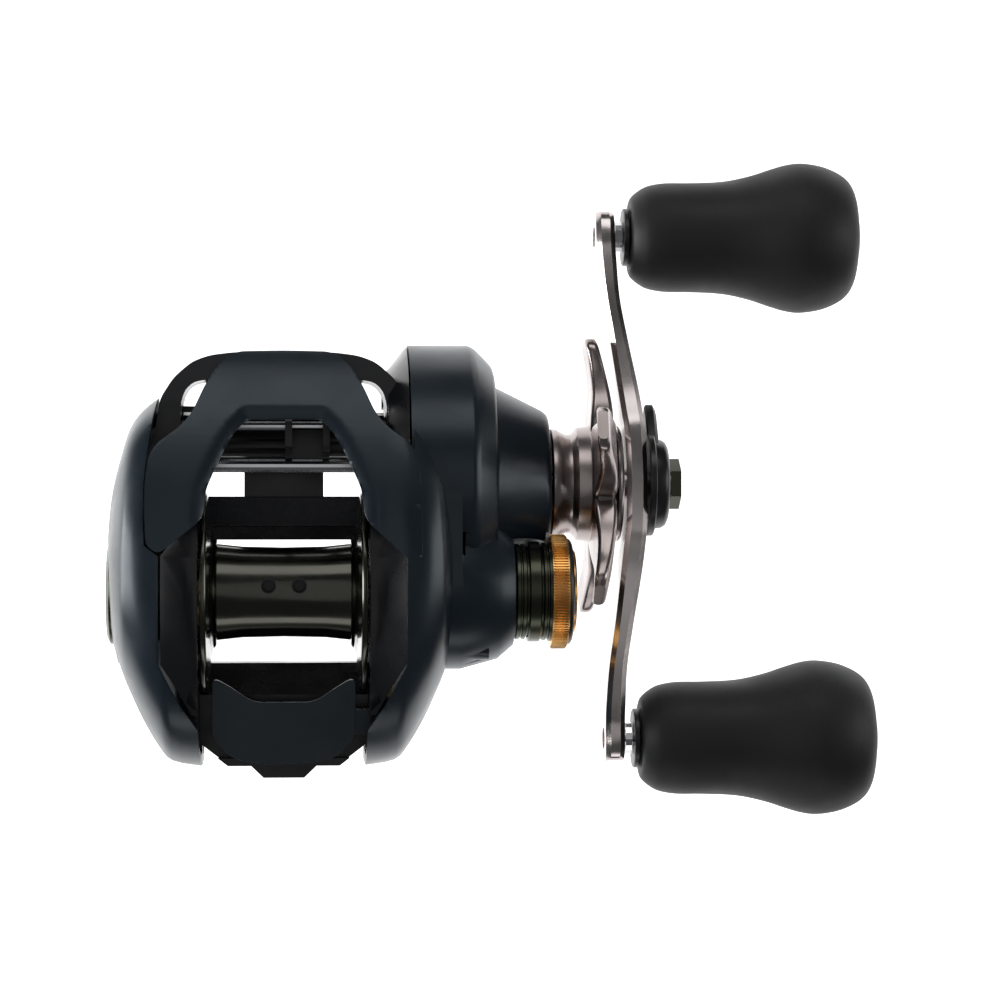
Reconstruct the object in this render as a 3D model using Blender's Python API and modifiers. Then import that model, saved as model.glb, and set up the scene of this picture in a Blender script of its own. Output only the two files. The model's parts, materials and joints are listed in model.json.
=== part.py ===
"""Low-profile baitcasting reel, right-hand drive.

Frame: X runs across the reel towards the handle, Y points forward to the rod tip, Z is up.
The origin is the middle of the rod seat, on the plane of the foot's underside, below the spool axis.
Lengths in this file are in millimetres and become metres where a mesh or a curve is made.
"""

import math

import bmesh
import bpy
from mathutils import Matrix, Vector

MM = 0.001
GAP = 0.3  # between neighbouring pieces

# ---- Driving dimensions -----------------------------------------------------------------------
SPOOL_AXIS = (0.0, 25.0)  # (y, z)
DRIVE_AXIS = (18.5, 13.7)  # handle, drive gear and star drag
WORM_AXIS = (25.2, 17.5)  # level-wind worm
REAR_ROD_AXIS = (21.6, 21.7)
FRONT_ROD_AXIS = (28.4, 19.2)

SPOOL_RADIUS = 17.0
SPOOL_HALF_WIDTH = 14.0
ARBOR_RADIUS_MIDDLE = 7.6
ARBOR_RADIUS_END = 8.2

PLATE_INNER = 14.4  # inner face of each side plate of the frame, from the middle plane
PLATE_OUTER = 17.2
RAIL_OUTER = 20.1  # outer edge of the frame's sloping top rails

DRIVE_TEETH, PINION_TEETH = 74, 10
IDLER_TEETH, WORM_TEETH = 18, 14
GEAR_X = (24.0, 28.0)

HANDLE_TILT = math.radians(-11.0)  # the front knob sits lower than the rear one
KNOB_RADIUS = 44.7  # from the drive axis to a knob's axis

STAR_ARMS = 5
STAR_PHASE = math.radians(-5.0)

# Height of the covers' outer surface over the reel, front to back, as (y, z)
TOP_LINE = [
    (-30.0, 21.0), (-29.2, 28.0), (-26.5, 34.5), (-21.0, 40.0), (-13.0, 43.3), (-4.0, 44.4),
    (6.0, 44.0), (16.0, 42.0), (25.0, 38.9), (33.0, 35.2), (38.0, 32.2), (40.8, 29.8), (41.8, 27.6),
]
HOOD_THICKNESS = 1.8
COVER_THICKNESS = 1.7
DRUM_RADIUS = 24.1  # gear cover, about the drive axis
CAST_BOSS_RADIUS = 13.2  # gear cover, about the spool axis

# Section of the body across the reel, as (y, z), and how it shrinks towards each side, as
# (x, front y, rear y, height scale about BODY_CENTRE_Z)
BODY_SECTION = [
    (34.2, 24.0), (31.5, 34.0), (25.0, 38.9), (16.0, 42.0), (6.0, 44.0), (-4.0, 44.4), (-13.0, 43.3),
    (-21.0, 40.0), (-26.5, 34.5), (-29.2, 28.0), (-29.6, 21.0), (-28.5, 12.0), (-22.0, 2.5),
    (-10.0, -4.2), (6.0, -4.8), (22.0, 0.5), (31.5, 11.0),
]
BODY_CENTRE_Z = 20.0
BODY_STATIONS = [
    (13.9, 34.2, -29.6, 1.0), (18.8, 34.2, -28.7, 1.0), (21.1, 33.1, -26.3, 0.985),
    (23.8, 31.0, -21.7, 0.95), (25.9, 28.2, -17.2, 0.90), (27.3, 24.0, -13.8, 0.83),
    (28.8, 18.2, -9.2, 0.66), (29.6, 12.4, -4.3, 0.42), (30.1, 6.5, -1.0, 0.16),
]

# Left seam between the frame's opening and the cover, as (x, y), rear to front
SEAM = [(-13.7, -34.0), (-13.7, -28.2), (-14.0, -22.7), (-16.8, -18.5), (-20.4, -11.7), (-20.4, 6.4)]
HOOD_EDGE = [(-22.7, 8.2), (-22.9, 12.0), (-22.9, 18.4), (-22.3, 24.3), (-21.0, 32.9),
             (-18.7, 36.5), (-15.6, 39.2), (-12.6, 40.3), (-8.6, 40.8)]


# ---- Materials --------------------------------------------------------------------------------
def make_material(name, colour, roughness, metallic=0.0):
    material = bpy.data.materials.new(name)
    material.use_nodes = True
    shader = material.node_tree.nodes["Principled BSDF"]
    shader.inputs["Base Color"].default_value = (*colour, 1.0)
    shader.inputs["Roughness"].default_value = roughness
    shader.inputs["Metallic"].default_value = metallic
    return material


def make_materials():
    return {
        "cover_paint": make_material("cover_paint", (0.030, 0.040, 0.050), 0.45, 0.2),
        "frame_black": make_material("frame_black", (0.012, 0.013, 0.016), 0.40),
        "handle_metal": make_material("handle_metal", (0.36, 0.31, 0.30), 0.22, 1.0),
        "gold": make_material("gold", (0.72, 0.42, 0.08), 0.28, 1.0),
        "spool_metal": make_material("spool_metal", (0.10, 0.10, 0.075), 0.18, 1.0),
        "olive_metal": make_material("olive_metal", (0.06, 0.07, 0.05), 0.30, 1.0),
        "steel": make_material("steel", (0.62, 0.62, 0.62), 0.25, 1.0),
        "brass": make_material("brass", (0.70, 0.52, 0.22), 0.35, 1.0),
        "black_plastic": make_material("black_plastic", (0.010, 0.010, 0.012), 0.35),
        "grip_rubber": make_material("grip_rubber", (0.012, 0.012, 0.014), 0.75),
        "drag_carbon": make_material("drag_carbon", (0.03, 0.03, 0.03), 0.8),
    }


# ---- Scene ------------------------------------------------------------------------------------
def start_scene():
    for obj in list(bpy.data.objects):
        bpy.data.objects.remove(obj)
    made = []
    for name in ("baitcasting_reel", "cutters"):
        collection = bpy.data.collections.new(name)
        bpy.context.scene.collection.children.link(collection)
        made.append(collection)
    return made


PARTS, CUTTERS = start_scene()
MATERIALS = make_materials()


def add_object(name, data, material):
    """A part when it has a material, and otherwise a hidden helper."""
    obj = bpy.data.objects.new(name, data)
    if material:
        PARTS.objects.link(obj)
        data.materials.append(MATERIALS[material])
    else:
        CUTTERS.objects.link(obj)
        obj.hide_render = True
        obj.display_type = "WIRE"
    return obj


# ---- Shapes -----------------------------------------------------------------------------------
def arc(centre, radius, start, end, count):
    """Points on an arc, angles in degrees, both ends included."""
    angles = [math.radians(start + (end - start) * i / (count - 1)) for i in range(count)]
    return [(centre[0] + radius * math.cos(a), centre[1] + radius * math.sin(a)) for a in angles]


def circle(centre, radius, count):
    return arc(centre, radius, 0, 360 - 360 / count, count)


def smooth_line(points, per_span=3, closed=False):
    """Points on a Catmull-Rom curve through the given ones."""
    count = len(points)
    spans = count if closed else count - 1
    made = []
    for i in range(spans):
        if closed:
            p = [points[(i + k) % count] for k in (-1, 0, 1, 2)]
        else:
            p = [points[min(max(i + k, 0), count - 1)] for k in (-1, 0, 1, 2)]
        for step in range(per_span):
            t = step / per_span
            made.append(tuple(
                0.5 * (2 * b + (c - a) * t + (2 * a - 5 * b + 4 * c - d) * t**2
                       + (3 * b - a - 3 * c + d) * t**3)
                for a, b, c, d in zip(*p)))
    return made if closed else made + [tuple(points[-1])]


def weld(mesh, distance=1e-6):
    shape = bmesh.new()
    shape.from_mesh(mesh)
    bmesh.ops.remove_doubles(shape, verts=shape.verts, dist=distance)
    bmesh.ops.recalc_face_normals(shape, faces=shape.faces)
    shape.to_mesh(mesh)
    shape.free()


PLANES = {  # rotation that stands a flat outline up, so that its thickness runs along the axis
    "X": (math.pi / 2, 0.0, math.pi / 2),  # outline in (y, z)
    "Y": (math.pi / 2, 0.0, 0.0),  # outline in (x, z)
    "Z": (0.0, 0.0, 0.0),  # outline in (x, y)
}


def plate(name, outlines, axis, low, high, material=None, origin=(0.0, 0.0)):
    """A flat outline with holes, given thickness from low to high along an axis. Origin is the
    point of the outline's plane that becomes the object's origin."""
    curve = bpy.data.curves.new(name, "CURVE")
    curve.dimensions = "2D"
    curve.fill_mode = "BOTH"
    curve.extrude = (high - low) / 2 * MM
    for outline in outlines:
        spline = curve.splines.new("POLY")
        spline.points.add(len(outline) - 1)
        for point, (u, v) in zip(spline.points, outline):
            point.co = ((u - origin[0]) * MM, (v - origin[1]) * MM, 0, 1)
        spline.use_cyclic_u = True
    flat = bpy.data.objects.new(name + "_outline", curve)
    CUTTERS.objects.link(flat)
    bpy.context.view_layer.update()
    graph = bpy.context.evaluated_depsgraph_get()
    mesh = bpy.data.meshes.new_from_object(flat.evaluated_get(graph))
    bpy.data.objects.remove(flat)
    weld(mesh)
    solid = add_object(name, mesh, material)
    solid.rotation_euler = PLANES[axis]
    middle = (low + high) / 2
    solid.location = {
        "X": Vector((middle, origin[0], origin[1])),
        "Y": Vector((origin[0], middle, origin[1])),
        "Z": Vector((origin[0], origin[1], middle)),
    }[axis] * MM
    return solid


def turned(name, axis, profile, material=None, steps=32, direction="X"):
    """A turned shape. The profile's points are (distance along the axis, radius), from the low end to
    the high end on the outside, then back on the inside if it's bored. The axis is (y, z) when it
    runs along X, and (x, y) when it runs along Z."""
    bored = profile[0][1] > 0
    mesh = bpy.data.meshes.new(name)
    points = [(radius * MM, 0.0, along * MM) for along, radius in reversed(profile)]
    edges = [(i, i + 1) for i in range(len(points) - 1)]
    if bored:
        edges.append((len(points) - 1, 0))
    mesh.from_pydata(points, edges, [])
    obj = add_object(name, mesh, material)
    screw = obj.modifiers.new("Turn", "SCREW")
    screw.steps = screw.render_steps = steps
    screw.use_merge_vertices = True
    screw.merge_threshold = 1e-6
    if direction == "X":
        obj.rotation_euler = (0.0, math.pi / 2, 0.0)
        obj.location = (0.0, axis[0] * MM, axis[1] * MM)
    else:
        obj.location = (axis[0] * MM, axis[1] * MM, 0.0)
    return obj


def disc(name, axis, low, high, radius, bore=0.0, material=None, steps=24):
    """A disc or ring about an axis along X, with its origin on the axis."""
    if bore:
        return plate(name, [circle(axis, radius, steps), circle(axis, bore, max(12, steps // 2))[::-1]],
                     "X", low, high, material, axis)
    mesh = bpy.data.meshes.new(name)
    shape = bmesh.new()
    bmesh.ops.create_cone(shape, cap_ends=True, segments=steps, radius1=radius * MM,
                          radius2=radius * MM, depth=(high - low) * MM)
    bmesh.ops.rotate(shape, verts=shape.verts, matrix=Matrix.Rotation(math.pi / 2, 3, "Y"))
    bmesh.ops.rotate(shape, verts=shape.verts, matrix=Matrix.Rotation(0.05, 3, "X"))
    shape.to_mesh(mesh)
    shape.free()
    obj = add_object(name, mesh, material)
    obj.location = Vector(((low + high) / 2, *axis)) * MM
    return obj


def cylinder(name, centre, radius, length, direction, material=None, sides=16):
    """A plain cylinder about a centre, along any direction."""
    mesh = bpy.data.meshes.new(name)
    shape = bmesh.new()
    bmesh.ops.create_cone(shape, cap_ends=True, segments=sides, radius1=radius * MM,
                          radius2=radius * MM, depth=length * MM)
    shape.to_mesh(mesh)
    shape.free()
    obj = add_object(name, mesh, material)
    obj.rotation_mode = "QUATERNION"
    obj.rotation_quaternion = Vector((0, 0, 1)).rotation_difference(Vector(direction))
    obj.location = Vector(centre) * MM
    return obj


def box(name, low, high, material=None):
    mesh = bpy.data.meshes.new(name)
    shape = bmesh.new()
    size = [b - a for a, b in zip(low, high)]
    bmesh.ops.create_cube(shape, size=1.0, matrix=Matrix.Diagonal((*[s * MM for s in size], 1)))
    shape.to_mesh(mesh)
    shape.free()
    obj = add_object(name, mesh, material)
    obj.location = Vector([(a + b) / 2 for a, b in zip(low, high)]) * MM
    return obj


def loft(name, sections, material=None):
    """A closed skin through rings of points that have the same count. Points are (x, y, z)."""
    count = len(sections[0])
    points = [tuple(v * MM for v in point) for ring in sections for point in ring]
    faces = [tuple(range(count))[::-1]]
    for s in range(len(sections) - 1):
        for i in range(count):
            j = (i + 1) % count
            faces.append((s * count + i, s * count + j, (s + 1) * count + j, (s + 1) * count + i))
    faces.append(tuple((len(sections) - 1) * count + i for i in range(count)))
    mesh = bpy.data.meshes.new(name)
    mesh.from_pydata(points, [], faces)
    shape = bmesh.new()
    shape.from_mesh(mesh)
    bmesh.ops.triangulate(shape, faces=[f for f in shape.faces if len(f.verts) == 4])
    bmesh.ops.recalc_face_normals(shape, faces=shape.faces)
    shape.to_mesh(mesh)
    shape.free()
    return add_object(name, mesh, material)


def boolean(target, other, operation):
    modifier = target.modifiers.new(operation.title(), "BOOLEAN")
    modifier.object = other
    modifier.operation = operation
    return target


def cut(target, *cutters):
    for cutter in cutters:
        boolean(target, cutter, "DIFFERENCE")
    return target


def unite(target, *others):
    for other in others:
        boolean(target, other, "UNION")
    return target


def keep_inside(target, other):
    return boolean(target, other, "INTERSECT")


def top_height(y):
    """Height of the covers' outer surface at y."""
    line = smooth_line(TOP_LINE, 6)
    for (y0, z0), (y1, z1) in zip(line, line[1:]):
        if y0 <= y <= y1:
            return z0 + (z1 - z0) * (y - y0) / (y1 - y0)
    return line[0][1] if y < line[0][0] else line[-1][1]


# ---- Gears ------------------------------------------------------------------------------------
def gear_outline(teeth, pitch_radius, phase, addendum=0.42, dedendum=0.60):
    """Slim trapezoid teeth, which leave the backlash that lets coarse flanks run clear."""
    pitch = 2 * math.pi / teeth
    points = []
    for i in range(teeth):
        middle = phase + i * pitch
        for share, radius in ((-0.24, pitch_radius - dedendum), (-0.11, pitch_radius + addendum),
                              (0.11, pitch_radius + addendum), (0.24, pitch_radius - dedendum)):
            angle = middle + share * pitch
            points.append((radius * math.cos(angle), radius * math.sin(angle)))
    return points


def shifted(points, offset):
    return [(u + offset[0], v + offset[1]) for u, v in points]


def mesh_pair(first_axis, second_axis, first_teeth, second_teeth):
    """Pitch radii and phases of two gears, with a tooth of the first in a gap of the second."""
    across = (second_axis[0] - first_axis[0], second_axis[1] - first_axis[1])
    distance = math.hypot(*across)
    towards = math.atan2(across[1], across[0])
    first_radius = distance * first_teeth / (first_teeth + second_teeth)
    second_radius = distance - first_radius
    second_phase = towards + math.pi + math.pi / second_teeth
    return first_radius, towards, second_radius, second_phase


# ---- Body skin --------------------------------------------------------------------------------
def body_ring(x, front, rear, scale, inset, per_span):
    """Section of the body at x, drawn in by an inset."""
    outline = smooth_line(BODY_SECTION, per_span, closed=True)
    low = min(y for y, z in outline)
    high = max(y for y, z in outline)
    ring = [(rear + (y - low) * (front - rear) / (high - low),
             BODY_CENTRE_Z + (z - BODY_CENTRE_Z) * scale) for y, z in outline]
    if inset:
        moved = []
        for i, (y, z) in enumerate(ring):
            (y0, z0), (y1, z1) = ring[i - 1], ring[(i + 1) % len(ring)]
            length = math.hypot(y1 - y0, z1 - z0)
            moved.append((y - (z1 - z0) / length * inset, z + (y1 - y0) / length * inset))
        ring = moved
    return [(x, y, z) for y, z in ring]


def body_half(name, side, material=None, per_span=2):
    """Hollow half of the body, open towards the middle. side is -1 for the palm side."""
    outer = [body_ring(side * x, front, rear, scale, 0, per_span)
             for x, front, rear, scale in BODY_STATIONS]
    inner = []
    for x, front, rear, scale in BODY_STATIONS:
        share = min(1.0, max(0.0, (x - 18.8) / 11.3)) ** 0.5
        inner.append(body_ring(side * (x - COVER_THICKNESS * share), front, rear, scale,
                               COVER_THICKNESS, per_span))
    inner[0] = [(side * 10.0, y, z) for _, y, z in inner[0]]
    skin = loft(name, outer, material)
    return cut(skin, loft(name + "_hollow", inner))


def drum_outline(grow, count=42):
    """Outline in (y, z) around the drive axis circle and the spool axis circle."""
    big, small = DRUM_RADIUS + grow, CAST_BOSS_RADIUS + grow
    across = (SPOOL_AXIS[0] - DRIVE_AXIS[0], SPOOL_AXIS[1] - DRIVE_AXIS[1])
    distance = math.hypot(*across)
    towards = math.degrees(math.atan2(across[1], across[0]))
    tangent = math.degrees(math.acos((big - small) / distance))
    return (arc(DRIVE_AXIS, big, towards + tangent, towards + 360 - tangent, count * 2 // 3)
            + arc(SPOOL_AXIS, small, towards - tangent, towards + tangent, count // 3))


# ---- Frame ------------------------------------------------------------------------------------
PLATE_OUTLINE = [
    (29.0, 21.5), (30.2, 20.5), (30.8, 17.5), (29.8, 14.5), (27.2, 9.6), (21.0, 3.9), (8.0, -1.4),
    (-9.0, -1.0), (-18.6, 5.2), (-25.0, 13.6), (-26.0, 21.0), (-25.6, 27.0), (-23.0, 32.4),
    (-18.0, 37.0), (-12.0, 38.8), (-4.0, 39.8), (6.0, 39.6), (16.0, 37.6), (25.0, 34.2), (29.0, 31.0),
]
POST_SPREAD = 9.0
BRAKE_BORE_RADIUS = 11.6  # through the left plate, around the brake
SCREW_PLACES = [
    (DRIVE_AXIS[0] + 21.9 * math.cos(math.radians(a)), DRIVE_AXIS[1] + 21.9 * math.sin(math.radians(a)))
    for a in (-45, -104)
] + [(-9.2, 30.2)]


def yoke_post_places():
    u = (DRIVE_AXIS[1] - SPOOL_AXIS[1], DRIVE_AXIS[0] - SPOOL_AXIS[0])
    length = math.hypot(*u)
    step = (-u[0] / length * POST_SPREAD, u[1] / length * POST_SPREAD)
    return [(SPOOL_AXIS[0] + k * step[0], SPOOL_AXIS[1] + k * step[1]) for k in (1, -1)]


def rail(name, side):
    """Black rail beside the spool, sloping down towards it, with the seam as its outer edge."""
    sections = []
    inner = PLATE_INNER + 0.15
    for y, outer in ((-20.3, 15.4), (-15.0, 18.2), (-11.5, RAIL_OUTER), (-4.0, RAIL_OUTER),
                     (6.1, RAIL_OUTER)):
        top = top_height(y)
        slope = (outer - inner) / (RAIL_OUTER - inner)
        ring = [(inner, y, top - 9.6), (inner, y, top - 5.3),
                (outer, y, top - 5.3 + 3.1 * slope), (outer, y, top - 7.1)]
        sections.append([(side * px, py, pz) for px, py, pz in ring])
    return loft(name, sections)


def nose_arch():
    outer = [(x, y) for x, y in HOOD_EDGE[3:]] + [(0.0, 41.1)] + [(-x, y) for x, y in
                                                               reversed(HOOD_EDGE[3:])]
    inner = [(17.5, 24.3), (17.5, 32.0), (16.8, 34.3), (15.4, 35.7), (12.8, 36.2),
             (-12.8, 36.2), (-15.4, 35.7), (-16.8, 34.3), (-17.5, 32.0), (-17.5, 24.3)]
    arch = plate("nose_arch", [outer + inner], "Z", 12.4, 26.2)
    return cut(arch, box("line_window", (-9.6, 30.0, 14.6), (9.6, 46.0, 24.4)))


def make_frame():
    frame = plate("frame", [PLATE_OUTLINE, circle(SPOOL_AXIS, BRAKE_BORE_RADIUS, 32)[::-1]], "X",
                  -PLATE_OUTER, -PLATE_INNER, "frame_black")
    right = plate("right_plate", [PLATE_OUTLINE], "X", PLATE_INNER, PLATE_OUTER)
    cup = turned("gear_cup", DRIVE_AXIS, [(15.6, 0), (15.6, 10.2), (17.7, 12.3), (17.7, 19.6), (18.3, 20.2),
                                          (21.1, 23.8), (21.1, 22.2), (19.2, 18.9), (19.2, 11.7), (17.0, 9.5),
                                          (17.0, 0)], None, 32)
    cut(cup, disc("clutch_well", SPOOL_AXIS, 17.3, 24.0, 13.0, steps=28))
    rear_deck = plate("rear_deck", [[(-23.5, 12.5), (-23.5, 18.4), (-17.9, 18.4), (-12.7, 12.2),
                                     (-12.7, 6.0), (-17.0, 5.6)]], "X", -15.0, 15.0)
    unite(rear_deck, plate("rear_block", [[(-30.0, 3.1), (-30.0, 18.0), (-18.2, 18.0), (-13.0, 11.8),
                                           (-13.0, 5.0), (-14.5, 2.9), (-29.5, 2.9)]], "X", -13.5, 13.5),
          box("rear_band", (-13.5, -30.0, 17.0), (13.5, -28.7, 20.8)))
    cut(rear_deck, *(plate(f"deck_corner_{side}", [[(side * 14.0, -26.6), (side * 8.8, -30.6),
                                                    (side * 14.0, -30.6)][::side]], "Z", 2.0, 25.0)
                     for side in (-1, 1)))
    front_deck = plate("front_deck", [[(8.7, 4.0), (8.7, 8.0), (11.0, 10.3), (16.3, 11.4), (16.3, 2.9),
                                       (9.8, 2.9)]], "X", -15.0, 15.0)
    spine = box("spine", (-6.9, 15.0, 2.9), (6.9, 23.5, 9.9))
    tray = plate("tray", [[(22.4, 8.0), (22.4, 11.2), (30.0, 11.2), (37.5, 14.6), (40.5, 14.6),
                           (40.5, 12.7), (31.0, 8.0)]], "X", -13.5, 13.5)
    unite(tray, box("tray_ends", (-15.0, 22.6, 8.4), (15.0, 26.2, 11.0)))
    unite(frame, right, cup, rear_deck, front_deck, spine, tray, nose_arch(),
          rail("left_rail", -1), rail("right_rail", 1))
    for i, (y, z) in enumerate(SCREW_PLACES):
        unite(frame, disc(f"frame_post_{i}", (y, z), 17.4 if i < 2 else 16.4, 21.1, 2.2, steps=12))
    cutters = [
        disc("bearing_seat", SPOOL_AXIS, 13.0, 16.4, 4.8, steps=24),
        disc("pinion_way", SPOOL_AXIS, 13.0, 19.0, 3.4, steps=20),
        disc("shaft_bearing_seat", DRIVE_AXIS, 14.9, 19.0, 4.5, steps=24),
        box("tab_slot", (13.5, -24.6, 19.2), (17.9, -19.4, 27.4)),
        disc("worm_seat", WORM_AXIS, -16.95, 17.6, 1.3, steps=16),
        disc("worm_gear_way", WORM_AXIS, 17.35, 20.4, 4.2, steps=20),
        plate("drum_way", [drum_outline(0.6)], "X", 21.25, 34.0),
    ]
    for i, (place, radius) in enumerate(((REAR_ROD_AXIS, 1.5), (FRONT_ROD_AXIS, 1.2))):
        cutters.append(disc(f"rod_seat_{i}", place, -16.2, 16.2, radius, steps=12))
    for i, place in enumerate(yoke_post_places()):
        cutters.append(disc(f"post_seat_{i}", place, 15.0, 18.0, 1.5, steps=12))
    for i, place in enumerate(SCREW_PLACES):
        cutters.append(disc(f"screw_seat_{i}", place, 17.8, 22.0, 1.3, steps=12))
    for i, y in enumerate(FOOT_SCREW_Y):
        cutters.append(cylinder(f"foot_screw_seat_{i}", (0, y, 3.6), 1.3, 7.2, (0, 0, 1), None, 12))
    return cut(frame, *cutters)


# ---- Feet -------------------------------------------------------------------------------------
FOOT_SCREW_Y = (12.2, 20.0, -17.0, -25.0)


def make_feet():
    front = plate("front_foot", [[(-6.4, 9.6), (6.4, 9.6), (6.4, 20.5), (4.6, 24.4), (-4.6, 24.4),
                                  (-6.4, 20.5)]], "Z", 0.0, 2.6, "frame_black")
    rear = plate("rear_foot", [[(-5.8, -31.5), (-3.6, -33.6), (3.6, -33.6), (5.8, -31.5), (5.8, -13.4),
                                (-5.8, -13.4)]], "Z", 0.0, 2.6, "frame_black")
    for i, y in enumerate(FOOT_SCREW_Y):
        blade = front if y > 0 else rear
        cut(blade, cylinder(f"head_seat_{i}", (0, y, 0.5), 2.3, 2.2, (0, 0, 1), None, 16),
            cylinder(f"shank_way_{i}", (0, y, 2.0), 1.3, 4.0, (0, 0, 1), None, 12))
        name = f"foot_screw_{i + 1}"
        head = turned(name, (0.0, y), [(0.2, 0), (0.2, 2.0), (1.3, 2.0), (1.3, 1.0), (6.6, 1.0), (6.6, 0)],
                      "steel", 12, "Z")
        cut(head, cylinder(f"drive_recess_{i}", (0, y, 0.3), 0.9, 1.2, (0, 0, 1), None, 6))


# ---- Covers -----------------------------------------------------------------------------------
def middle_region(grow):
    """Outline in (x, y) of everything the palm cover keeps clear of, seen from above."""
    edge = SEAM + HOOD_EDGE[:7]
    return [(x - grow, y) for x, y in edge] + [(-15.6 - grow, 60.0), (40.0, 60.0), (40.0, -34.0)]


def make_palm_side():
    cover = body_half("palm_cover", -1, "cover_paint")
    upper = plate("palm_cover_opening", [middle_region(GAP)], "Z", 12.0, 60.0)
    floor = disc("dial_floor", SPOOL_AXIS, -28.0, -26.4, 12.0, steps=28)
    boss = disc("bearing_boss", SPOOL_AXIS, -27.0, -18.6, 6.4, steps=24)
    cut(cover, upper, disc("dial_way", SPOOL_AXIS, -32.0, -27.9, 9.2, steps=28))
    unite(cover, floor, boss)
    cut(cover, disc("left_bearing_seat", SPOOL_AXIS, -21.0, -18.0, 4.3, steps=20),
        disc("left_shaft_way", SPOOL_AXIS, -24.0, -18.0, 2.0, steps=12))
    dial = turned("brake_dial", SPOOL_AXIS, [(-29.8, 0), (-29.8, 7.8), (-29.3, 8.8), (-28.2, 8.8),
                                             (-28.2, 0)], "olive_metal", 28)
    cut(dial, box("dial_grip_slot", (-32.0, -6.5, 24.2), (-29.2, 6.5, 25.8)))
    disc("brake_ring", SPOOL_AXIS, -23.0, -19.0, 8.4, 6.8, "olive_metal", 20)
    disc("spool_bearing_left", SPOOL_AXIS, -20.8, -18.8, 4.0, 1.8, "steel", 20)
    unite(bpy.data.objects["brake_ring"],
          disc("brake_ring_flange", SPOOL_AXIS, -23.2, -22.2, 9.2, 7.0, steps=20))


def hood_height(x, y, drop=0.0):
    return top_height(y) - 0.4 * (x / 23.0) ** 2 - drop


def hood_sheet():
    """Sheet that follows the covers' top surface, solid, before it's trimmed to its outline."""
    xs = [-24.0, -18.0, -12.0, -6.0, 0.0, 6.0, 12.0, 18.0, 24.0]
    ys = [4.5 + i * (41.7 - 4.5) / 12 for i in range(13)]
    sections = []
    for y in ys:
        ring = [(x, y, hood_height(x, y)) for x in xs]
        ring += [(x, y, hood_height(x, y, HOOD_THICKNESS)) for x in reversed(xs)]
        sections.append(ring)
    return loft("hood_sheet", sections)


def make_top_cover():
    cover = body_half("top_cover", 1, "cover_paint")
    opening = [(-x, y) for x, y in SEAM] + [(-60.0, 6.4), (-60.0, -34.0)]
    front = [(-50.0, 6.4), (21.9, 6.4), (21.9, 20.0), (21.9, 60.0), (-50.0, 60.0)]
    cut(cover, plate("top_cover_opening", [opening], "Z", 12.3, 60.0),
        plate("top_cover_front", [front], "Z", -20.0, 60.0),
        disc("cup_way", DRIVE_AXIS, 12.0, 40.0, DRUM_RADIUS + 0.4, steps=36),
        plate("gear_cover_way", [drum_outline(0.35)], "X", 20.9, 40.0))
    left = [(0.0, 41.0)] + [(-8.2, 40.8), (-11.0, 38.6), (-13.1, 35.2), (-15.9, 28.9), (-22.2, 24.3),
                            (-22.9, 18.4), (-22.9, 12.0), (-22.7, 8.2), (-20.7, 6.75), (-13.3, 12.6),
                            (-13.0, 17.2), (-11.7, 20.3), (-9.4, 25.1), (-7.9, 27.4), (-6.1, 29.2)]
    right = [(-x, y) for x, y in reversed(left[1:])]
    outline = [left[0]] + left[1:] + right
    hood = keep_inside(hood_sheet(), plate("hood_outline", [outline], "Z", 20.0, 60.0))
    link = box("hood_link", (19.5, 8.5, 41.0), (22.6, 15.0, 41.9))
    unite(cover, hood, link)
    return cut(cover, plate("hood_drum_way", [drum_outline(0.35)], "X", 20.9, 40.0))


def cover_solid(name, inset, low, material=None):
    """Gear cover as a solid: a drum, its tapering boss for the drag, and the cast control's boss."""
    base = plate(name, [drum_outline(-inset - 0.12)], "X", low + 0.1, 29.8 - inset, material)
    drum = turned(name + "_drum", DRIVE_AXIS,
                  [(low, 0), (low, DRUM_RADIUS - inset), (32.6 - inset * 0.6, DRUM_RADIUS - inset),
                   (36.1 - inset, 20.4 - inset), (36.3 - inset, 17.4), (36.8 - inset, 16.8),
                   (44.6 - inset, 12.9 - inset), (45.8 - inset, 12.0 - inset), (45.8 - inset, 0)],
                  None, 40)
    cast = turned(name + "_cast", SPOOL_AXIS,
                  [(low + 1, 0), (low + 1, 13.2 - inset), (30.0, 13.2 - inset), (36.3 - inset, 11.5 - inset),
                   (39.0 - inset, 9.2 - inset), (39.0 - inset, 0)], None, 24)
    return unite(base, drum, cast)


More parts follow.
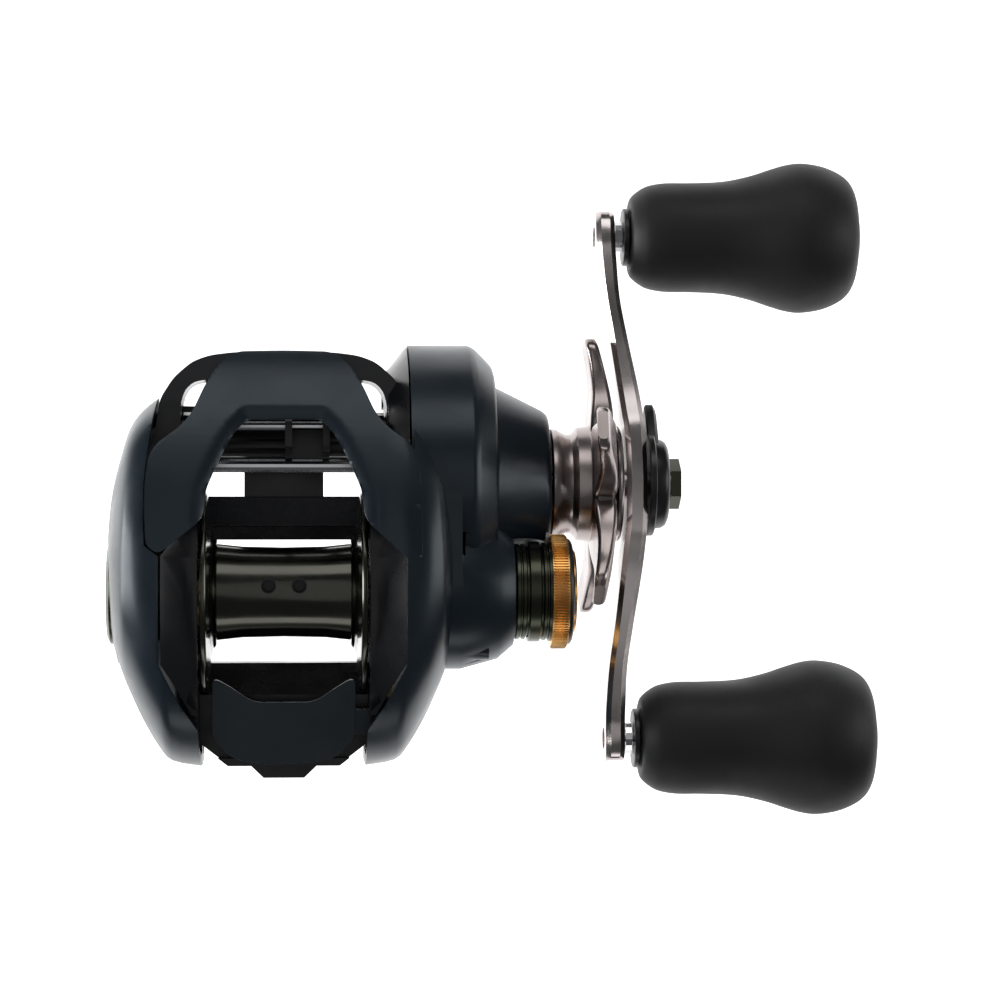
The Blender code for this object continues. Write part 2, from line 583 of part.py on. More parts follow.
def make_gear_cover():
    cover = cover_solid("gear_cover", 0.0, 21.4, "cover_paint")
    cut(cover, disc("cast_knob_way", SPOOL_AXIS, 39.05, 46.5, 9.1, steps=24),
        disc("cast_grip_way", SPOOL_AXIS, 45.0, 47.0, 10.3, steps=24))
    unite(cover, disc("cast_neck", SPOOL_AXIS, 38.0, 43.4, 5.6, steps=16))
    hollow = plate("gear_cover_hollow", [drum_outline(-1.6)], "X", 20.0, 30.4)
    drum = turned("gear_cover_drum_hollow", DRIVE_AXIS,
                  [(20.0, 0), (20.0, 22.5), (31.6, 22.5), (34.3, 19.4), (34.5, 9.6), (42.4, 9.6),
                   (42.4, 0)], None, 28)
    cut(cover, hollow, drum)
    for i, place in enumerate(SCREW_PLACES):
        unite(cover, disc(f"cover_post_{i}", place, 21.7, 34.6, 2.2, steps=12))
    cut(cover, disc("sleeve_way", DRIVE_AXIS, 42.0, 48.0, 5.2, steps=24),
        disc("shaft_bore", SPOOL_AXIS, 28.0, 46.0, 3.4, steps=20),
        disc("pinion_bearing_seat", SPOOL_AXIS, 28.0, 36.0, 4.8, steps=20))
    for i, place in enumerate(SCREW_PLACES):
        cut(cover, disc(f"screw_head_way_{i}", place, 32.5, 42.0, 2.0, steps=12),
            disc(f"screw_shank_way_{i}", place, 20.0, 36.0, 1.3, steps=12))
        screw = turned(f"cover_screw_{i + 1}", place,
                       [(18.1, 0), (18.1, 1.0), (32.8, 1.0), (32.8, 1.7), (34.0, 1.7), (34.0, 0)], "steel", 12)
        recess = disc(f"cover_screw_recess_{i}", place, 33.3, 35.0, 0.8, steps=6)
        cut(screw, recess)
    return cover


# ---- Spool ------------------------------------------------------------------------------------
def make_spool():
    w = SPOOL_HALF_WIDTH
    half = [(w, 15.6), (w, 16.7), (w - 0.3, 17.0), (w - 0.8, 17.0), (w - 1.1, 16.6), (w - 1.8, 10.4),
            (w - 2.5, 9.3), (w - 2.7, ARBOR_RADIUS_END), (w - 7.0, ARBOR_RADIUS_MIDDLE + 0.15),
            (0.0, ARBOR_RADIUS_MIDDLE)]
    outside = [(-x, r) for x, r in half] + half[-2::-1]
    hollow = [(w - 0.6, 15.4), (w - 2.9, 6.6), (w - 2.9, 3.4), (5.0, 3.4), (5.0, 1.8)]
    inside = hollow + [(-x, r) for x, r in reversed(hollow)]
    spool = turned("spool", SPOOL_AXIS, outside + inside, "spool_metal", 30)
    for i, x in enumerate((-2.6, 2.6)):
        cut(spool, cylinder(f"line_hole_{i}", (x, 1.2, 32.0), 1.2, 9.0, (0, 0.14, 1), None, 12))
    turned("spool_shaft", SPOOL_AXIS, [(-23.4, 0), (-23.4, 1.5), (17.0, 1.5), (17.3, 1.0), (42.4, 1.0),
                                       (42.4, 0)], "steel", 16)
    turned("brake_hub", SPOOL_AXIS, [(-17.6, 1.8), (-17.6, 5.0), (-16.2, 5.6), (-11.9, 5.6), (-11.9, 1.8)],
           "brass", 16)
    disc("spool_bearing_right", SPOOL_AXIS, 14.7, 16.2, 4.5, 1.8, "steel", 20)


# ---- Clutch and gears -------------------------------------------------------------------------
def make_gears():
    drive_r, drive_phase, pinion_r, pinion_phase = mesh_pair(DRIVE_AXIS, SPOOL_AXIS, DRIVE_TEETH,
                                                             PINION_TEETH)
    teeth = shifted(gear_outline(DRIVE_TEETH, drive_r, drive_phase), DRIVE_AXIS)
    gear = plate("drive_gear", [teeth, circle(DRIVE_AXIS, 2.8, 20)[::-1]], "X", *GEAR_X, "brass",
                 DRIVE_AXIS)
    cut(gear, disc("drag_well", DRIVE_AXIS, 26.8, 30.0, 15.2, steps=32))
    disc("drag_washer", DRIVE_AXIS, 27.1, 27.9, 14.8, 2.8, "drag_carbon", 28)
    disc("drag_plate", DRIVE_AXIS, 28.2, 29.6, 14.4, 2.8, "steel", 28)
    leaf = shifted(gear_outline(PINION_TEETH, pinion_r, pinion_phase, 0.42, 0.55), SPOOL_AXIS)
    pinion = plate("pinion_gear", [leaf], "X", 21.2, 30.0, "brass", SPOOL_AXIS)
    unite(pinion, disc("pinion_waist", SPOOL_AXIS, 18.8, 21.6, 1.95, steps=20),
          disc("pinion_head", SPOOL_AXIS, 17.7, 19.1, 2.9, steps=20))
    cut(pinion, disc("pinion_bore", SPOOL_AXIS, 16.0, 32.0, 1.3, steps=16))

    idler_r, idler_phase, worm_r, worm_phase = mesh_pair(DRIVE_AXIS, WORM_AXIS, IDLER_TEETH, WORM_TEETH)
    teeth = shifted(gear_outline(IDLER_TEETH, idler_r, idler_phase, 0.4, 0.65), DRIVE_AXIS)
    plate("worm_drive_gear", [teeth, circle(DRIVE_AXIS, 2.8, 20)[::-1]], "X", 17.9, 19.9, "black_plastic",
          DRIVE_AXIS)
    teeth = shifted(gear_outline(WORM_TEETH, worm_r, worm_phase, 0.4, 0.65), WORM_AXIS)
    plate("worm_gear", [teeth, circle(WORM_AXIS, 1.3, 12)[::-1]], "X", 17.9, 19.9, "black_plastic",
          WORM_AXIS)


def make_clutch():
    upper, lower = yoke_post_places()
    for i, place in enumerate((upper, lower)):
        disc(f"yoke_post_{i + 1}", place, 15.3, 23.8, 1.2, material="steel", steps=12)
    angle = math.degrees(math.atan2(upper[1] - lower[1], upper[0] - lower[0]))
    outline = arc(upper, 2.9, angle - 90, angle + 90, 7) + arc(lower, 2.9, angle + 90, angle + 270, 7)
    yoke = plate("clutch_yoke", [outline], "X", 19.5, 20.8, "steel", SPOOL_AXIS)
    cut(yoke, disc("pinion_fork", SPOOL_AXIS, 19.0, 22.0, 2.3, steps=20),
        disc("upper_post_way", upper, 19.0, 22.0, 1.5, steps=12),
        disc("lower_post_way", lower, 19.0, 22.0, 1.5, steps=12))
    cam = disc("clutch_cam", SPOOL_AXIS, 17.6, 18.8, 6.4, 3.5, "brass", 28)
    unite(cam, plate("cam_arm", [[(-24.0, 21.4), (-24.0, 23.3), (-19.4, 23.3), (-5.2, 27.0), (-5.2, 23.4)]], "X",
                     17.6, 18.8))


def make_thumb_bar():
    outline = [(12.1, -25.0), (12.1, -14.4), (9.3, -15.9), (6.3, -18.0), (4.4, -18.7), (-4.4, -18.7),
               (-6.3, -18.0), (-9.3, -15.9), (-12.1, -14.4), (-12.1, -25.0), (-8.6, -28.3), (8.6, -28.3)]
    bar = plate("thumb_bar", [outline], "Z", 25.4, 27.0, "cover_paint")
    skirt = [(10.9, -24.4), (10.9, -20.4), (-10.9, -20.4), (-10.9, -24.4), (-8.0, -27.2), (8.0, -27.2)]
    unite(bar, plate("thumb_bar_skirt", [skirt], "Z", 23.2, 26.0),
          box("thumb_bar_tab", (10.0, -24.2, 23.8), (19.3, -20.0, 26.4)))
    return bar


# ---- Drive train ------------------------------------------------------------------------------
def make_drive():
    turned("drive_shaft", DRIVE_AXIS, [(14.9 + GAP, 0), (14.9 + GAP, 2.5), (68.6, 2.5), (68.6, 0)],
           "steel", 20)
    disc("drive_shaft_bearing", DRIVE_AXIS, 15.2, 17.1, 4.2, 2.8, "steel", 20)
    ratchet = []
    for i in range(12):
        a = 2 * math.pi * i / 12
        ratchet += [(5.4 * math.cos(a), 5.4 * math.sin(a)), (4.4 * math.cos(a + 0.44),
                                                           4.4 * math.sin(a + 0.44))]
    plate("ratchet", [shifted(ratchet, DRIVE_AXIS), circle(DRIVE_AXIS, 2.8, 16)[::-1]], "X", 20.6, 21.8,
          "steel", DRIVE_AXIS)
    turned("drive_sleeve", DRIVE_AXIS, [(29.9, 2.8), (29.9, 5.6), (31.0, 5.6), (31.0, 4.0), (44.0, 4.0),
                                        (44.0, 2.8)], "steel", 20)
    disc("roller_clutch", DRIVE_AXIS, 34.0, 42.1, 9.3, 4.3, "steel", 24)
    turned("drag_spring", DRIVE_AXIS, [(44.3, 2.8), (44.9, 4.6), (45.4, 4.6), (45.9, 2.9)], "steel", 20)


def star_outline(count):
    points = []
    for i in range(count):
        middle = STAR_PHASE + 2 * math.pi * i / count
        for turn, radius in ((-0.50, 11.2), (-0.24, 14.2), (-0.150, 20.5), (-0.120, 24.2), (-0.05, 25.3),
                             (0.05, 25.3), (0.120, 24.2), (0.150, 20.5), (0.24, 14.2), (0.50, 11.2)):
            points.append((radius * math.cos(middle + turn), radius * math.sin(middle + turn)))
    return points


def make_star():
    star = turned("star_drag", DRIVE_AXIS,
                  [(46.2, 2.8), (46.2, 9.6), (47.4, 9.6), (49.5, 8.7), (50.9, 9.9), (53.0, 10.1),
                   (54.0, 11.0), (56.6, 10.8), (57.1, 9.9), (57.1, 2.8)], "handle_metal", 24)
    arms = plate("star_arms", [shifted(star_outline(STAR_ARMS), DRIVE_AXIS),
                               circle(DRIVE_AXIS, 6.0, 24)[::-1]], "X", 53.3, 56.4)
    return unite(star, arms)


ARM_SECTIONS = [  # (distance from the drive axis, inner x, outer x, half width)
    (0.0, 59.3, 62.9, 7.2), (8.0, 59.1, 62.7, 7.0), (11.7, 58.7, 62.4, 6.3), (17.0, 58.1, 61.7, 5.2),
    (24.9, 57.1, 60.3, 4.5), (32.7, 55.9, 59.0, 4.4), (39.5, 55.2, 58.5, 4.8), (43.0, 55.0, 58.3, 5.2),
    (46.5, 55.0, 58.3, 4.8), (48.8, 55.1, 58.2, 2.6),
]


def make_handle():
    sections = []
    for side in (-1, 1):
        rows = ARM_SECTIONS[1:] if side > 0 else ARM_SECTIONS[::-1]
        for r, low, high, half in rows:
            bevel = 0.7
            ring = [(low, half - bevel), (low + bevel, half), (high - bevel, half), (high, half - bevel),
                    (high, bevel - half), (high - bevel, -half), (low + bevel, -half), (low, bevel - half)]
            sections.append([(x, side * r, w) for x, w in ring])
    arm = loft("handle_arm", sections, "handle_metal")
    arm.location = (0.0, DRIVE_AXIS[0] * MM, DRIVE_AXIS[1] * MM)
    arm.rotation_euler = (HANDLE_TILT, 0.0, 0.0)
    cut(arm, disc("arm_bore", DRIVE_AXIS, 55.0, 66.0, 2.8, steps=20))
    turned("handle_collar", DRIVE_AXIS, [(57.4, 2.8), (57.4, 9.6), (57.7, 10.2), (58.2, 10.2), (58.6, 9.6),
                                         (58.6, 2.8)], "handle_metal", 20)
    cap = turned("handle_retainer", DRIVE_AXIS,
                 [(63.2, 2.8), (63.2, 9.1), (64.3, 9.1), (64.6, 7.8), (66.2, 7.6), (66.9, 6.6), (67.0, 5.2),
                  (67.0, 2.8)], "black_plastic", 20)
    tail = plate("retainer_tail", [[(14.2, 0.0), (8.0, 4.3), (4.0, 5.5), (4.0, -5.5), (8.0, -4.3)]], "X",
                 63.2, 65.2)
    tail.location = (64.2 * MM, DRIVE_AXIS[0] * MM, DRIVE_AXIS[1] * MM)
    tail.rotation_mode = "QUATERNION"
    tail.rotation_quaternion = (Matrix.Rotation(HANDLE_TILT, 3, "X")
                                @ Matrix(((0, 0, 1), (1, 0, 0), (0, 1, 0)))).to_quaternion()
    unite(cap, tail)
    nut = plate("handle_nut", [shifted([(4.4 * math.cos(math.radians(60 * i)),
                                         4.4 * math.sin(math.radians(60 * i))) for i in range(6)],
                                       DRIVE_AXIS), circle(DRIVE_AXIS, 2.8, 16)[::-1]], "X", 67.3, 69.1,
                "olive_metal", DRIVE_AXIS)
    for name, side in (("front", 1), ("rear", -1)):
        axis = (DRIVE_AXIS[0] + side * KNOB_RADIUS * math.cos(HANDLE_TILT),
                DRIVE_AXIS[1] + side * KNOB_RADIUS * math.sin(HANDLE_TILT))
        cut(arm, disc(f"{name}_spindle_way", axis, 50.0, 62.0, 1.8, steps=16))
        make_knob(name, axis)
    return nut


def make_knob(name, axis):
    turned(f"{name}_knob_spindle", axis,
           [(55.3, 0), (55.3, 1.5), (58.6, 1.5), (58.6, 2.8), (59.7, 2.8),
            (59.7, 1.5), (97.0, 1.5), (97.0, 0)], "steel", 16)
    disc(f"{name}_knob_collar", axis, 60.0, 60.9, 5.1, 1.8, "black_plastic", 20)
    turned(f"{name}_knob", axis,
           [(61.2, 1.8), (61.2, 6.6), (62.6, 8.0), (64.4, 9.1), (67.5, 9.65), (76.0, 9.8), (82.7, 11.0),
            (88.5, 12.9), (91.9, 13.3), (95.4, 12.8), (99.3, 11.2), (101.0, 8.6), (101.3, 6.3),
            (99.8, 6.3), (99.8, 4.4), (97.4, 4.4), (97.4, 1.8)], "grip_rubber", 20)
    turned(f"{name}_knob_cap", axis, [(98.2, 0), (98.2, 3.9), (100.1, 3.9), (100.1, 6.0), (101.6, 5.8),
                                      (102.2, 3.8), (102.3, 0)], "black_plastic", 16)


# ---- Level wind -------------------------------------------------------------------------------
GUIDE_X = 4.0  # rest position of the line guide's middle


def make_level_wind():
    tube = disc("worm_tube", WORM_AXIS, -14.1, 14.1, 2.1, 1.6, "black_plastic", 24)
    cut(tube, box("worm_tube_slot", (-10.8, WORM_AXIS[0] - 0.9, 14.0), (10.8, WORM_AXIS[0] + 0.9, 16.9)))
    profile = [(-16.8, 0), (-16.8, 1.0), (-14.2, 1.0), (-13.6, 1.25)]
    for i in range(7):
        middle = -10.2 + 3.4 * i
        profile += [(middle - 0.9, 1.25), (middle - 0.6, 0.9), (middle + 0.6, 0.9), (middle + 0.9, 1.25)]
    turned("worm_shaft", WORM_AXIS, profile + [(13.6, 1.25), (14.2, 1.0), (20.1, 1.0), (20.1, 0)],
           "steel", 10)
    disc("guide_rod_rear", REAR_ROD_AXIS, -15.9, 15.9, 1.2, material="steel", steps=14)
    disc("guide_rod_front", FRONT_ROD_AXIS, -15.9, 15.9, 0.9, material="steel", steps=14)
    low, high = GUIDE_X - 3.8, GUIDE_X + 3.8
    block = [(21.8, 13.6), (23.0, 12.8), (27.4, 12.8), (28.6, 13.8), (28.6, 16.6), (27.6, 20.3),
             (23.0, 20.6), (21.8, 19.0)]
    guide = plate("line_guide", [block], "X", low, high, "black_plastic")
    tab = [(24.0, 18.6), (24.0, 26.6), (24.8, 27.6), (29.0, 27.6), (30.2, 26.0), (30.2, 16.2), (28.0, 15.6)]
    unite(guide, plate("guide_tab_left", [tab], "X", low, low + 1.2),
          plate("guide_tab_right", [tab], "X", high - 1.2, high))
    cut(guide, disc("tube_way", WORM_AXIS, low - 1, high + 1, 2.4, steps=24),
        disc("front_rod_way", FRONT_ROD_AXIS, low - 1, high + 1, 1.2, steps=14),
        cylinder("pawl_way", (GUIDE_X, WORM_AXIS[0], 13.8), 0.95, 4.0, (0, 0, 1), None, 12))
    turned("guide_pawl", (GUIDE_X, WORM_AXIS[0]), [(12.9, 0), (12.9, 0.65), (16.2, 0.65), (16.2, 0)],
           "brass", 12, "Z")
    return guide


# ---- Cast control -----------------------------------------------------------------------------
def make_cast_control():
    knob = turned("cast_control_knob", SPOOL_AXIS,
                  [(39.3, 5.9), (39.3, 8.2), (41.2, 8.2), (41.2, 7.6), (43.9, 7.6), (43.9, 8.4), (45.4, 8.5),
                   (45.4, 9.8), (48.2, 9.8), (48.4, 8.9), (49.0, 8.5), (49.0, 7.6), (48.5, 7.6), (48.5, 0)],
                  "gold", 28)
    cut(knob, disc("cast_knob_hollow", SPOOL_AXIS, 39.0, 46.0, 5.9, steps=16))
    disc("cast_knob_ring", SPOOL_AXIS, 41.5, 43.6, 8.6, 7.9, "olive_metal", 28)
    disc("cast_face_ring", SPOOL_AXIS, 48.8, 49.6, 7.3, 4.6, "gold", 24)
    return knob


def shade(obj):
    if obj.type == "MESH":
        obj.data.shade_smooth()
        obj.data.set_sharp_from_angle(angle=math.radians(35))


def main():
    make_frame()
    make_feet()
    make_palm_side()
    make_top_cover()
    make_gear_cover()
    make_spool()
    make_gears()
    make_clutch()
    make_thumb_bar()
    make_drive()
    make_star()
    make_handle()
    make_level_wind()
    make_cast_control()
    for obj in PARTS.objects:
        shade(obj)


main()
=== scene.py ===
"""Looks of the low-profile baitcasting reel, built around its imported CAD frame.

Frame: X runs across the reel towards the handle, Y points forward to the rod tip, Z is up. Lengths are in
millimetres here, and become metres where a mesh is made.
"""

import json
import math

import bmesh
import bpy
from mathutils import Matrix, Vector


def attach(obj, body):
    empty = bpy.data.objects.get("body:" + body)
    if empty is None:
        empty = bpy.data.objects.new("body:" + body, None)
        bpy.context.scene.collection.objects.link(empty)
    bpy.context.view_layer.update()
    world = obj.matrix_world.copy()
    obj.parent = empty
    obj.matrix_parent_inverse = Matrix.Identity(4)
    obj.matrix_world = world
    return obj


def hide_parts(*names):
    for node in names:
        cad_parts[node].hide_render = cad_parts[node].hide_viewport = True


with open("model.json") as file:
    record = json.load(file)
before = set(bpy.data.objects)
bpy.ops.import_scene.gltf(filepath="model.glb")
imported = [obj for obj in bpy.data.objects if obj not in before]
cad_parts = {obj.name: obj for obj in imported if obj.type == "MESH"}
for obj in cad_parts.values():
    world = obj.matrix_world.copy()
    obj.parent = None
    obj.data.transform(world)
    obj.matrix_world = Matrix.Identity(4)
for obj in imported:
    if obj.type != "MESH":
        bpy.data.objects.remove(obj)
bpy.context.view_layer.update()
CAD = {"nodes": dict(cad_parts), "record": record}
NODE_BODY = {node: body for body, nodes in CAD["record"]["behaviour"]["bodies"].items() for node in nodes}
NODE_SLOT = {entry["node"]: entry["material_slot"] for entry in CAD["record"]["subparts"]}

MM = 0.001
GAP = 0.3  # between neighbouring pieces

# ---- Driving dimensions -----------------------------------------------------------------------
SPOOL_AXIS = (0.0, 25.0)  # (y, z)
DRIVE_AXIS = (18.5, 13.7)  # handle, drive gear and star drag
WORM_AXIS = (25.2, 17.5)  # level-wind worm
REAR_ROD_AXIS = (21.6, 21.7)
FRONT_ROD_AXIS = (28.4, 19.2)

SPOOL_RADIUS = 17.0
SPOOL_HALF_WIDTH = 14.0
ARBOR_RADIUS_MIDDLE = 7.6
ARBOR_RADIUS_END = 8.2

PLATE_INNER = 14.4  # inner face of each side plate of the frame, from the middle plane
PLATE_OUTER = 17.2
RAIL_OUTER = 20.35  # outer edge of the frame's sloping top rails

HANDLE_TILT = math.radians(-11.0)  # the front knob sits lower than the rear one
KNOB_RADIUS = 44.7  # from the drive axis to a knob's axis

STAR_ARMS = 5
STAR_PHASE = math.radians(-5.0)

# Height of the covers' outer surface over the reel, front to back, as (y, z)
TOP_LINE = [
    (-30.0, 21.0), (-29.2, 28.0), (-26.5, 34.5), (-21.0, 40.0), (-13.0, 43.3), (-4.0, 44.4),
    (6.0, 44.0), (16.0, 42.0), (25.0, 38.9), (33.0, 35.2), (38.0, 32.2), (40.8, 29.8), (41.8, 27.6),
]
HOOD_THICKNESS = 1.8
COVER_THICKNESS = 1.7
DRUM_RADIUS = 24.1  # gear cover, about the drive axis
CAST_BOSS_RADIUS = 13.2  # gear cover, about the spool axis

# Section of the body across the reel, as (y, z), and how it shrinks towards each side, as
# (x, front y, rear y, height scale about BODY_CENTRE_Z)
BODY_SECTION = [
    (34.2, 24.0), (31.5, 34.0), (25.0, 38.9), (16.0, 42.0), (6.0, 44.0), (-4.0, 44.4), (-13.0, 43.3),
    (-21.0, 40.0), (-26.5, 34.5), (-29.2, 28.0), (-29.6, 21.0), (-28.5, 12.0), (-22.0, 2.5),
    (-10.0, -4.2), (6.0, -4.8), (22.0, 0.5), (31.5, 11.0),
]
BODY_CENTRE_Z = 20.0
BODY_STATIONS = [
    (13.9, 34.2, -29.6, 1.0), (18.8, 34.2, -28.7, 1.0), (21.1, 33.1, -26.3, 0.985),
    (23.8, 31.0, -21.7, 0.95), (25.9, 28.2, -17.2, 0.90), (27.3, 24.0, -13.8, 0.83),
    (28.8, 18.2, -9.2, 0.66), (29.6, 12.4, -4.3, 0.42), (30.1, 6.5, -1.0, 0.16),
]

# Left seam between the frame's opening and the cover, as (x, y), rear to front
SEAM = [(-13.7, -34.0), (-13.7, -28.2), (-14.0, -22.7), (-16.8, -18.5), (-20.4, -11.7), (-20.4, 6.4)]
# Outer edge of the hood's left side, as (x, y), from the end of the seam forward to the nose
HOOD_EDGE = [(-22.7, 8.2), (-22.9, 12.0), (-22.9, 18.4), (-22.3, 24.3), (-21.0, 32.9),
             (-18.7, 36.5), (-15.6, 39.2), (-12.6, 40.3), (-8.6, 40.8)]

DETAIL = 3  # how much finer than the CAD solids the shown shapes are turned
WELD_DISTANCE = 2e-6  # metres
DISC_PHASE = 0.05  # turn about its axis that keeps a disc's corners off its neighbours' corners
WEAR_MM = 9.0  # size of the patches in which the gloss varies
RELIEF_MM = 0.1  # height of a surface's grain at full strength


# ---- Materials --------------------------------------------------------------------------------
def surface(name, dark, light, rough, metallic=0.0, grain_mm=0.4, bump=0.05, stretch=(1, 1, 1), **extra):
    """Two close shades mixed by a fine grain that also raises the surface, and a roughness that varies
    in larger patches."""
    material = bpy.data.materials.new(name)
    material.use_nodes = True
    nodes, links = material.node_tree.nodes, material.node_tree.links
    shader = nodes["Principled BSDF"]
    shader.inputs["Metallic"].default_value = metallic
    for socket, value in extra.items():
        shader.inputs[socket.replace("_", " ")].default_value = value
    place = nodes.new("ShaderNodeTexCoord")
    scale = nodes.new("ShaderNodeMapping")
    scale.inputs["Scale"].default_value = stretch
    grain = nodes.new("ShaderNodeTexNoise")
    grain.inputs["Scale"].default_value = 1.0 / (grain_mm * MM)
    grain.inputs["Detail"].default_value = 4.0
    links.new(place.outputs["Object"], scale.inputs["Vector"])
    links.new(scale.outputs["Vector"], grain.inputs["Vector"])
    wear = nodes.new("ShaderNodeTexNoise")
    wear.inputs["Scale"].default_value = 1.0 / (WEAR_MM * MM)
    wear.inputs["Detail"].default_value = 3.0
    links.new(place.outputs["Object"], wear.inputs["Vector"])
    shade = nodes.new("ShaderNodeMix")
    shade.data_type = "RGBA"
    shade.inputs["A"].default_value = (*dark, 1)
    shade.inputs["B"].default_value = (*light, 1)
    links.new(grain.outputs["Fac"], shade.inputs["Factor"])
    links.new(shade.outputs["Result"], shader.inputs["Base Color"])
    gloss = nodes.new("ShaderNodeMapRange")
    gloss.inputs["From Min"].default_value, gloss.inputs["From Max"].default_value = 0.35, 0.65
    gloss.inputs["To Min"].default_value, gloss.inputs["To Max"].default_value = rough
    links.new(wear.outputs["Fac"], gloss.inputs["Value"])
    links.new(gloss.outputs["Result"], shader.inputs["Roughness"])
    relief = nodes.new("ShaderNodeBump")
    relief.inputs["Strength"].default_value = bump
    relief.inputs["Distance"].default_value = RELIEF_MM * MM
    links.new(grain.outputs["Fac"], relief.inputs["Height"])
    links.new(relief.outputs["Normal"], shader.inputs["Normal"])
    return material


def make_materials():
    return {
        "cover_paint": surface("cover_paint", (0.0072, 0.0128, 0.0195), (0.0105, 0.0175, 0.0255),
                               (0.28, 0.38), grain_mm=0.3, bump=0.02, Specular_IOR_Level=0.42,
                               Specular_Tint=(0.82, 0.93, 1.0, 1.0), Coat_Weight=0.12, Coat_Roughness=0.2),
        "frame_black": surface("frame_black", (0.0115, 0.012, 0.0145), (0.015, 0.0158, 0.0185), (0.20, 0.32),
                               grain_mm=0.3, bump=0.03, Specular_IOR_Level=0.42),
        "handle_metal": surface("handle_metal", (0.53, 0.485, 0.475), (0.61, 0.56, 0.545), (0.18, 0.27), 1.0,
                                grain_mm=0.08, bump=0.03, stretch=(1, 0.08, 1)),
        "star_metal": surface("star_metal", (0.35, 0.30, 0.29), (0.42, 0.365, 0.35), (0.20, 0.30), 1.0,
                              grain_mm=0.15, bump=0.02),
        "gold": surface("gold", (0.76, 0.40, 0.12), (0.85, 0.48, 0.16), (0.20, 0.30), 1.0, grain_mm=0.2,
                        bump=0.03),
        "spool_metal": surface("spool_metal", (0.058, 0.058, 0.048), (0.074, 0.073, 0.060), (0.16, 0.24), 1.0,
                               grain_mm=0.2, bump=0.01, stretch=(1, 0.1, 0.1), Coat_Weight=0.35,
                               Coat_Roughness=0.10),
        "olive_metal": surface("olive_metal", (0.050, 0.054, 0.038), (0.068, 0.073, 0.052), (0.20, 0.30), 1.0,
                               grain_mm=0.1, bump=0.03),
        "steel": surface("steel", (0.66, 0.66, 0.68), (0.76, 0.76, 0.77), (0.14, 0.24), 1.0, grain_mm=0.08,
                         bump=0.04, stretch=(0.1, 1, 1)),
        "brass": surface("brass", (0.62, 0.45, 0.18), (0.72, 0.53, 0.22), (0.25, 0.38), 1.0, grain_mm=0.12,
                         bump=0.05),
        "black_plastic": surface("black_plastic", (0.0075, 0.0078, 0.0085), (0.0105, 0.0108, 0.0118),
                                 (0.28, 0.40), grain_mm=0.18, bump=0.08, Specular_IOR_Level=0.5),
        "grip_rubber": surface("grip_rubber", (0.0062, 0.0062, 0.0076), (0.0092, 0.0092, 0.0108),
                               (0.52, 0.62), grain_mm=0.16, bump=0.22, Specular_IOR_Level=0.45),
        "drag_carbon": surface("drag_carbon", (0.010, 0.010, 0.010), (0.05, 0.05, 0.05), (0.5, 0.7),
                               grain_mm=0.5, bump=0.3),
        "deck_grain": surface("deck_grain", (0.026, 0.028, 0.036), (0.055, 0.058, 0.070), (0.36, 0.50),
                              grain_mm=0.75, bump=0.9),
    }


MATERIALS = make_materials()
CUTTERS = []


def add_object(name, data, material):
    """A mesh in the scene, or a helper to be thrown away when it has no material."""
    obj = bpy.data.objects.new("shown_" + name if material else "helper_" + name, data)
    bpy.context.scene.collection.objects.link(obj)
    if material:
        data.materials.append(MATERIALS[material])
    else:
        CUTTERS.append(obj)
    return obj


def apply_modifiers(obj):
    bpy.context.view_layer.update()
    graph = bpy.context.evaluated_depsgraph_get()
    mesh = bpy.data.meshes.new_from_object(obj.evaluated_get(graph))
    obj.modifiers.clear()
    obj.data = mesh
    return obj


def show(obj, nodes, bevel=0.0, angle=32):
    """Finishes a shape: applies its modifiers, rounds its edges, and lets it stand for CAD nodes."""
    apply_modifiers(obj)
    weld(obj.data, WELD_DISTANCE)
    if bevel:
        edge = obj.modifiers.new("Edges", "BEVEL")
        edge.width = bevel * MM
        edge.segments = 3
        edge.limit_method = "ANGLE"
        edge.angle_limit = math.radians(angle)
        edge.miter_outer = "MITER_ARC"
        apply_modifiers(obj)
    obj.data.shade_smooth()
    obj.data.set_sharp_from_angle(angle=math.radians(angle))
    normals = obj.modifiers.new("Normals", "WEIGHTED_NORMAL")
    normals.keep_sharp = True
    normals.weight = 80
    apply_modifiers(obj)
    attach(obj, NODE_BODY[nodes[0]])
    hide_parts(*nodes)
    return obj


def clear_helpers():
    for helper in CUTTERS:
        bpy.data.objects.remove(helper)
    CUTTERS.clear()


# ---- Shapes -----------------------------------------------------------------------------------
def arc(centre, radius, start, end, count):
    """Points on an arc, angles in degrees, both ends included."""
    angles = [math.radians(start + (end - start) * i / (count - 1)) for i in range(count)]
    return [(centre[0] + radius * math.cos(a), centre[1] + radius * math.sin(a)) for a in angles]


def circle(centre, radius, count):
    return arc(centre, radius, 0, 360 - 360 / count, count)


def rounded_box(low, high, radius, per_corner):
    (x0, y0), (x1, y1) = low, high
    corners = [((x1 - radius, y1 - radius), 0), ((x0 + radius, y1 - radius), 90),
               ((x0 + radius, y0 + radius), 180), ((x1 - radius, y0 + radius), 270)]
    return [p for centre, turn in corners for p in arc(centre, radius, turn, turn + 90, per_corner)]


def smooth_line(points, per_span=3, closed=False):
    """Points on a Catmull-Rom curve through the given ones."""
    count = len(points)
    spans = count if closed else count - 1
    made = []
    for i in range(spans):
        if closed:
            p = [points[(i + k) % count] for k in (-1, 0, 1, 2)]
        else:
            p = [points[min(max(i + k, 0), count - 1)] for k in (-1, 0, 1, 2)]
        for step in range(per_span):
            t = step / per_span
            made.append(tuple(
                0.5 * (2 * b + (c - a) * t + (2 * a - 5 * b + 4 * c - d) * t**2
                       + (3 * b - a - 3 * c + d) * t**3)
                for a, b, c, d in zip(*p)))
    return made if closed else made + [tuple(points[-1])]


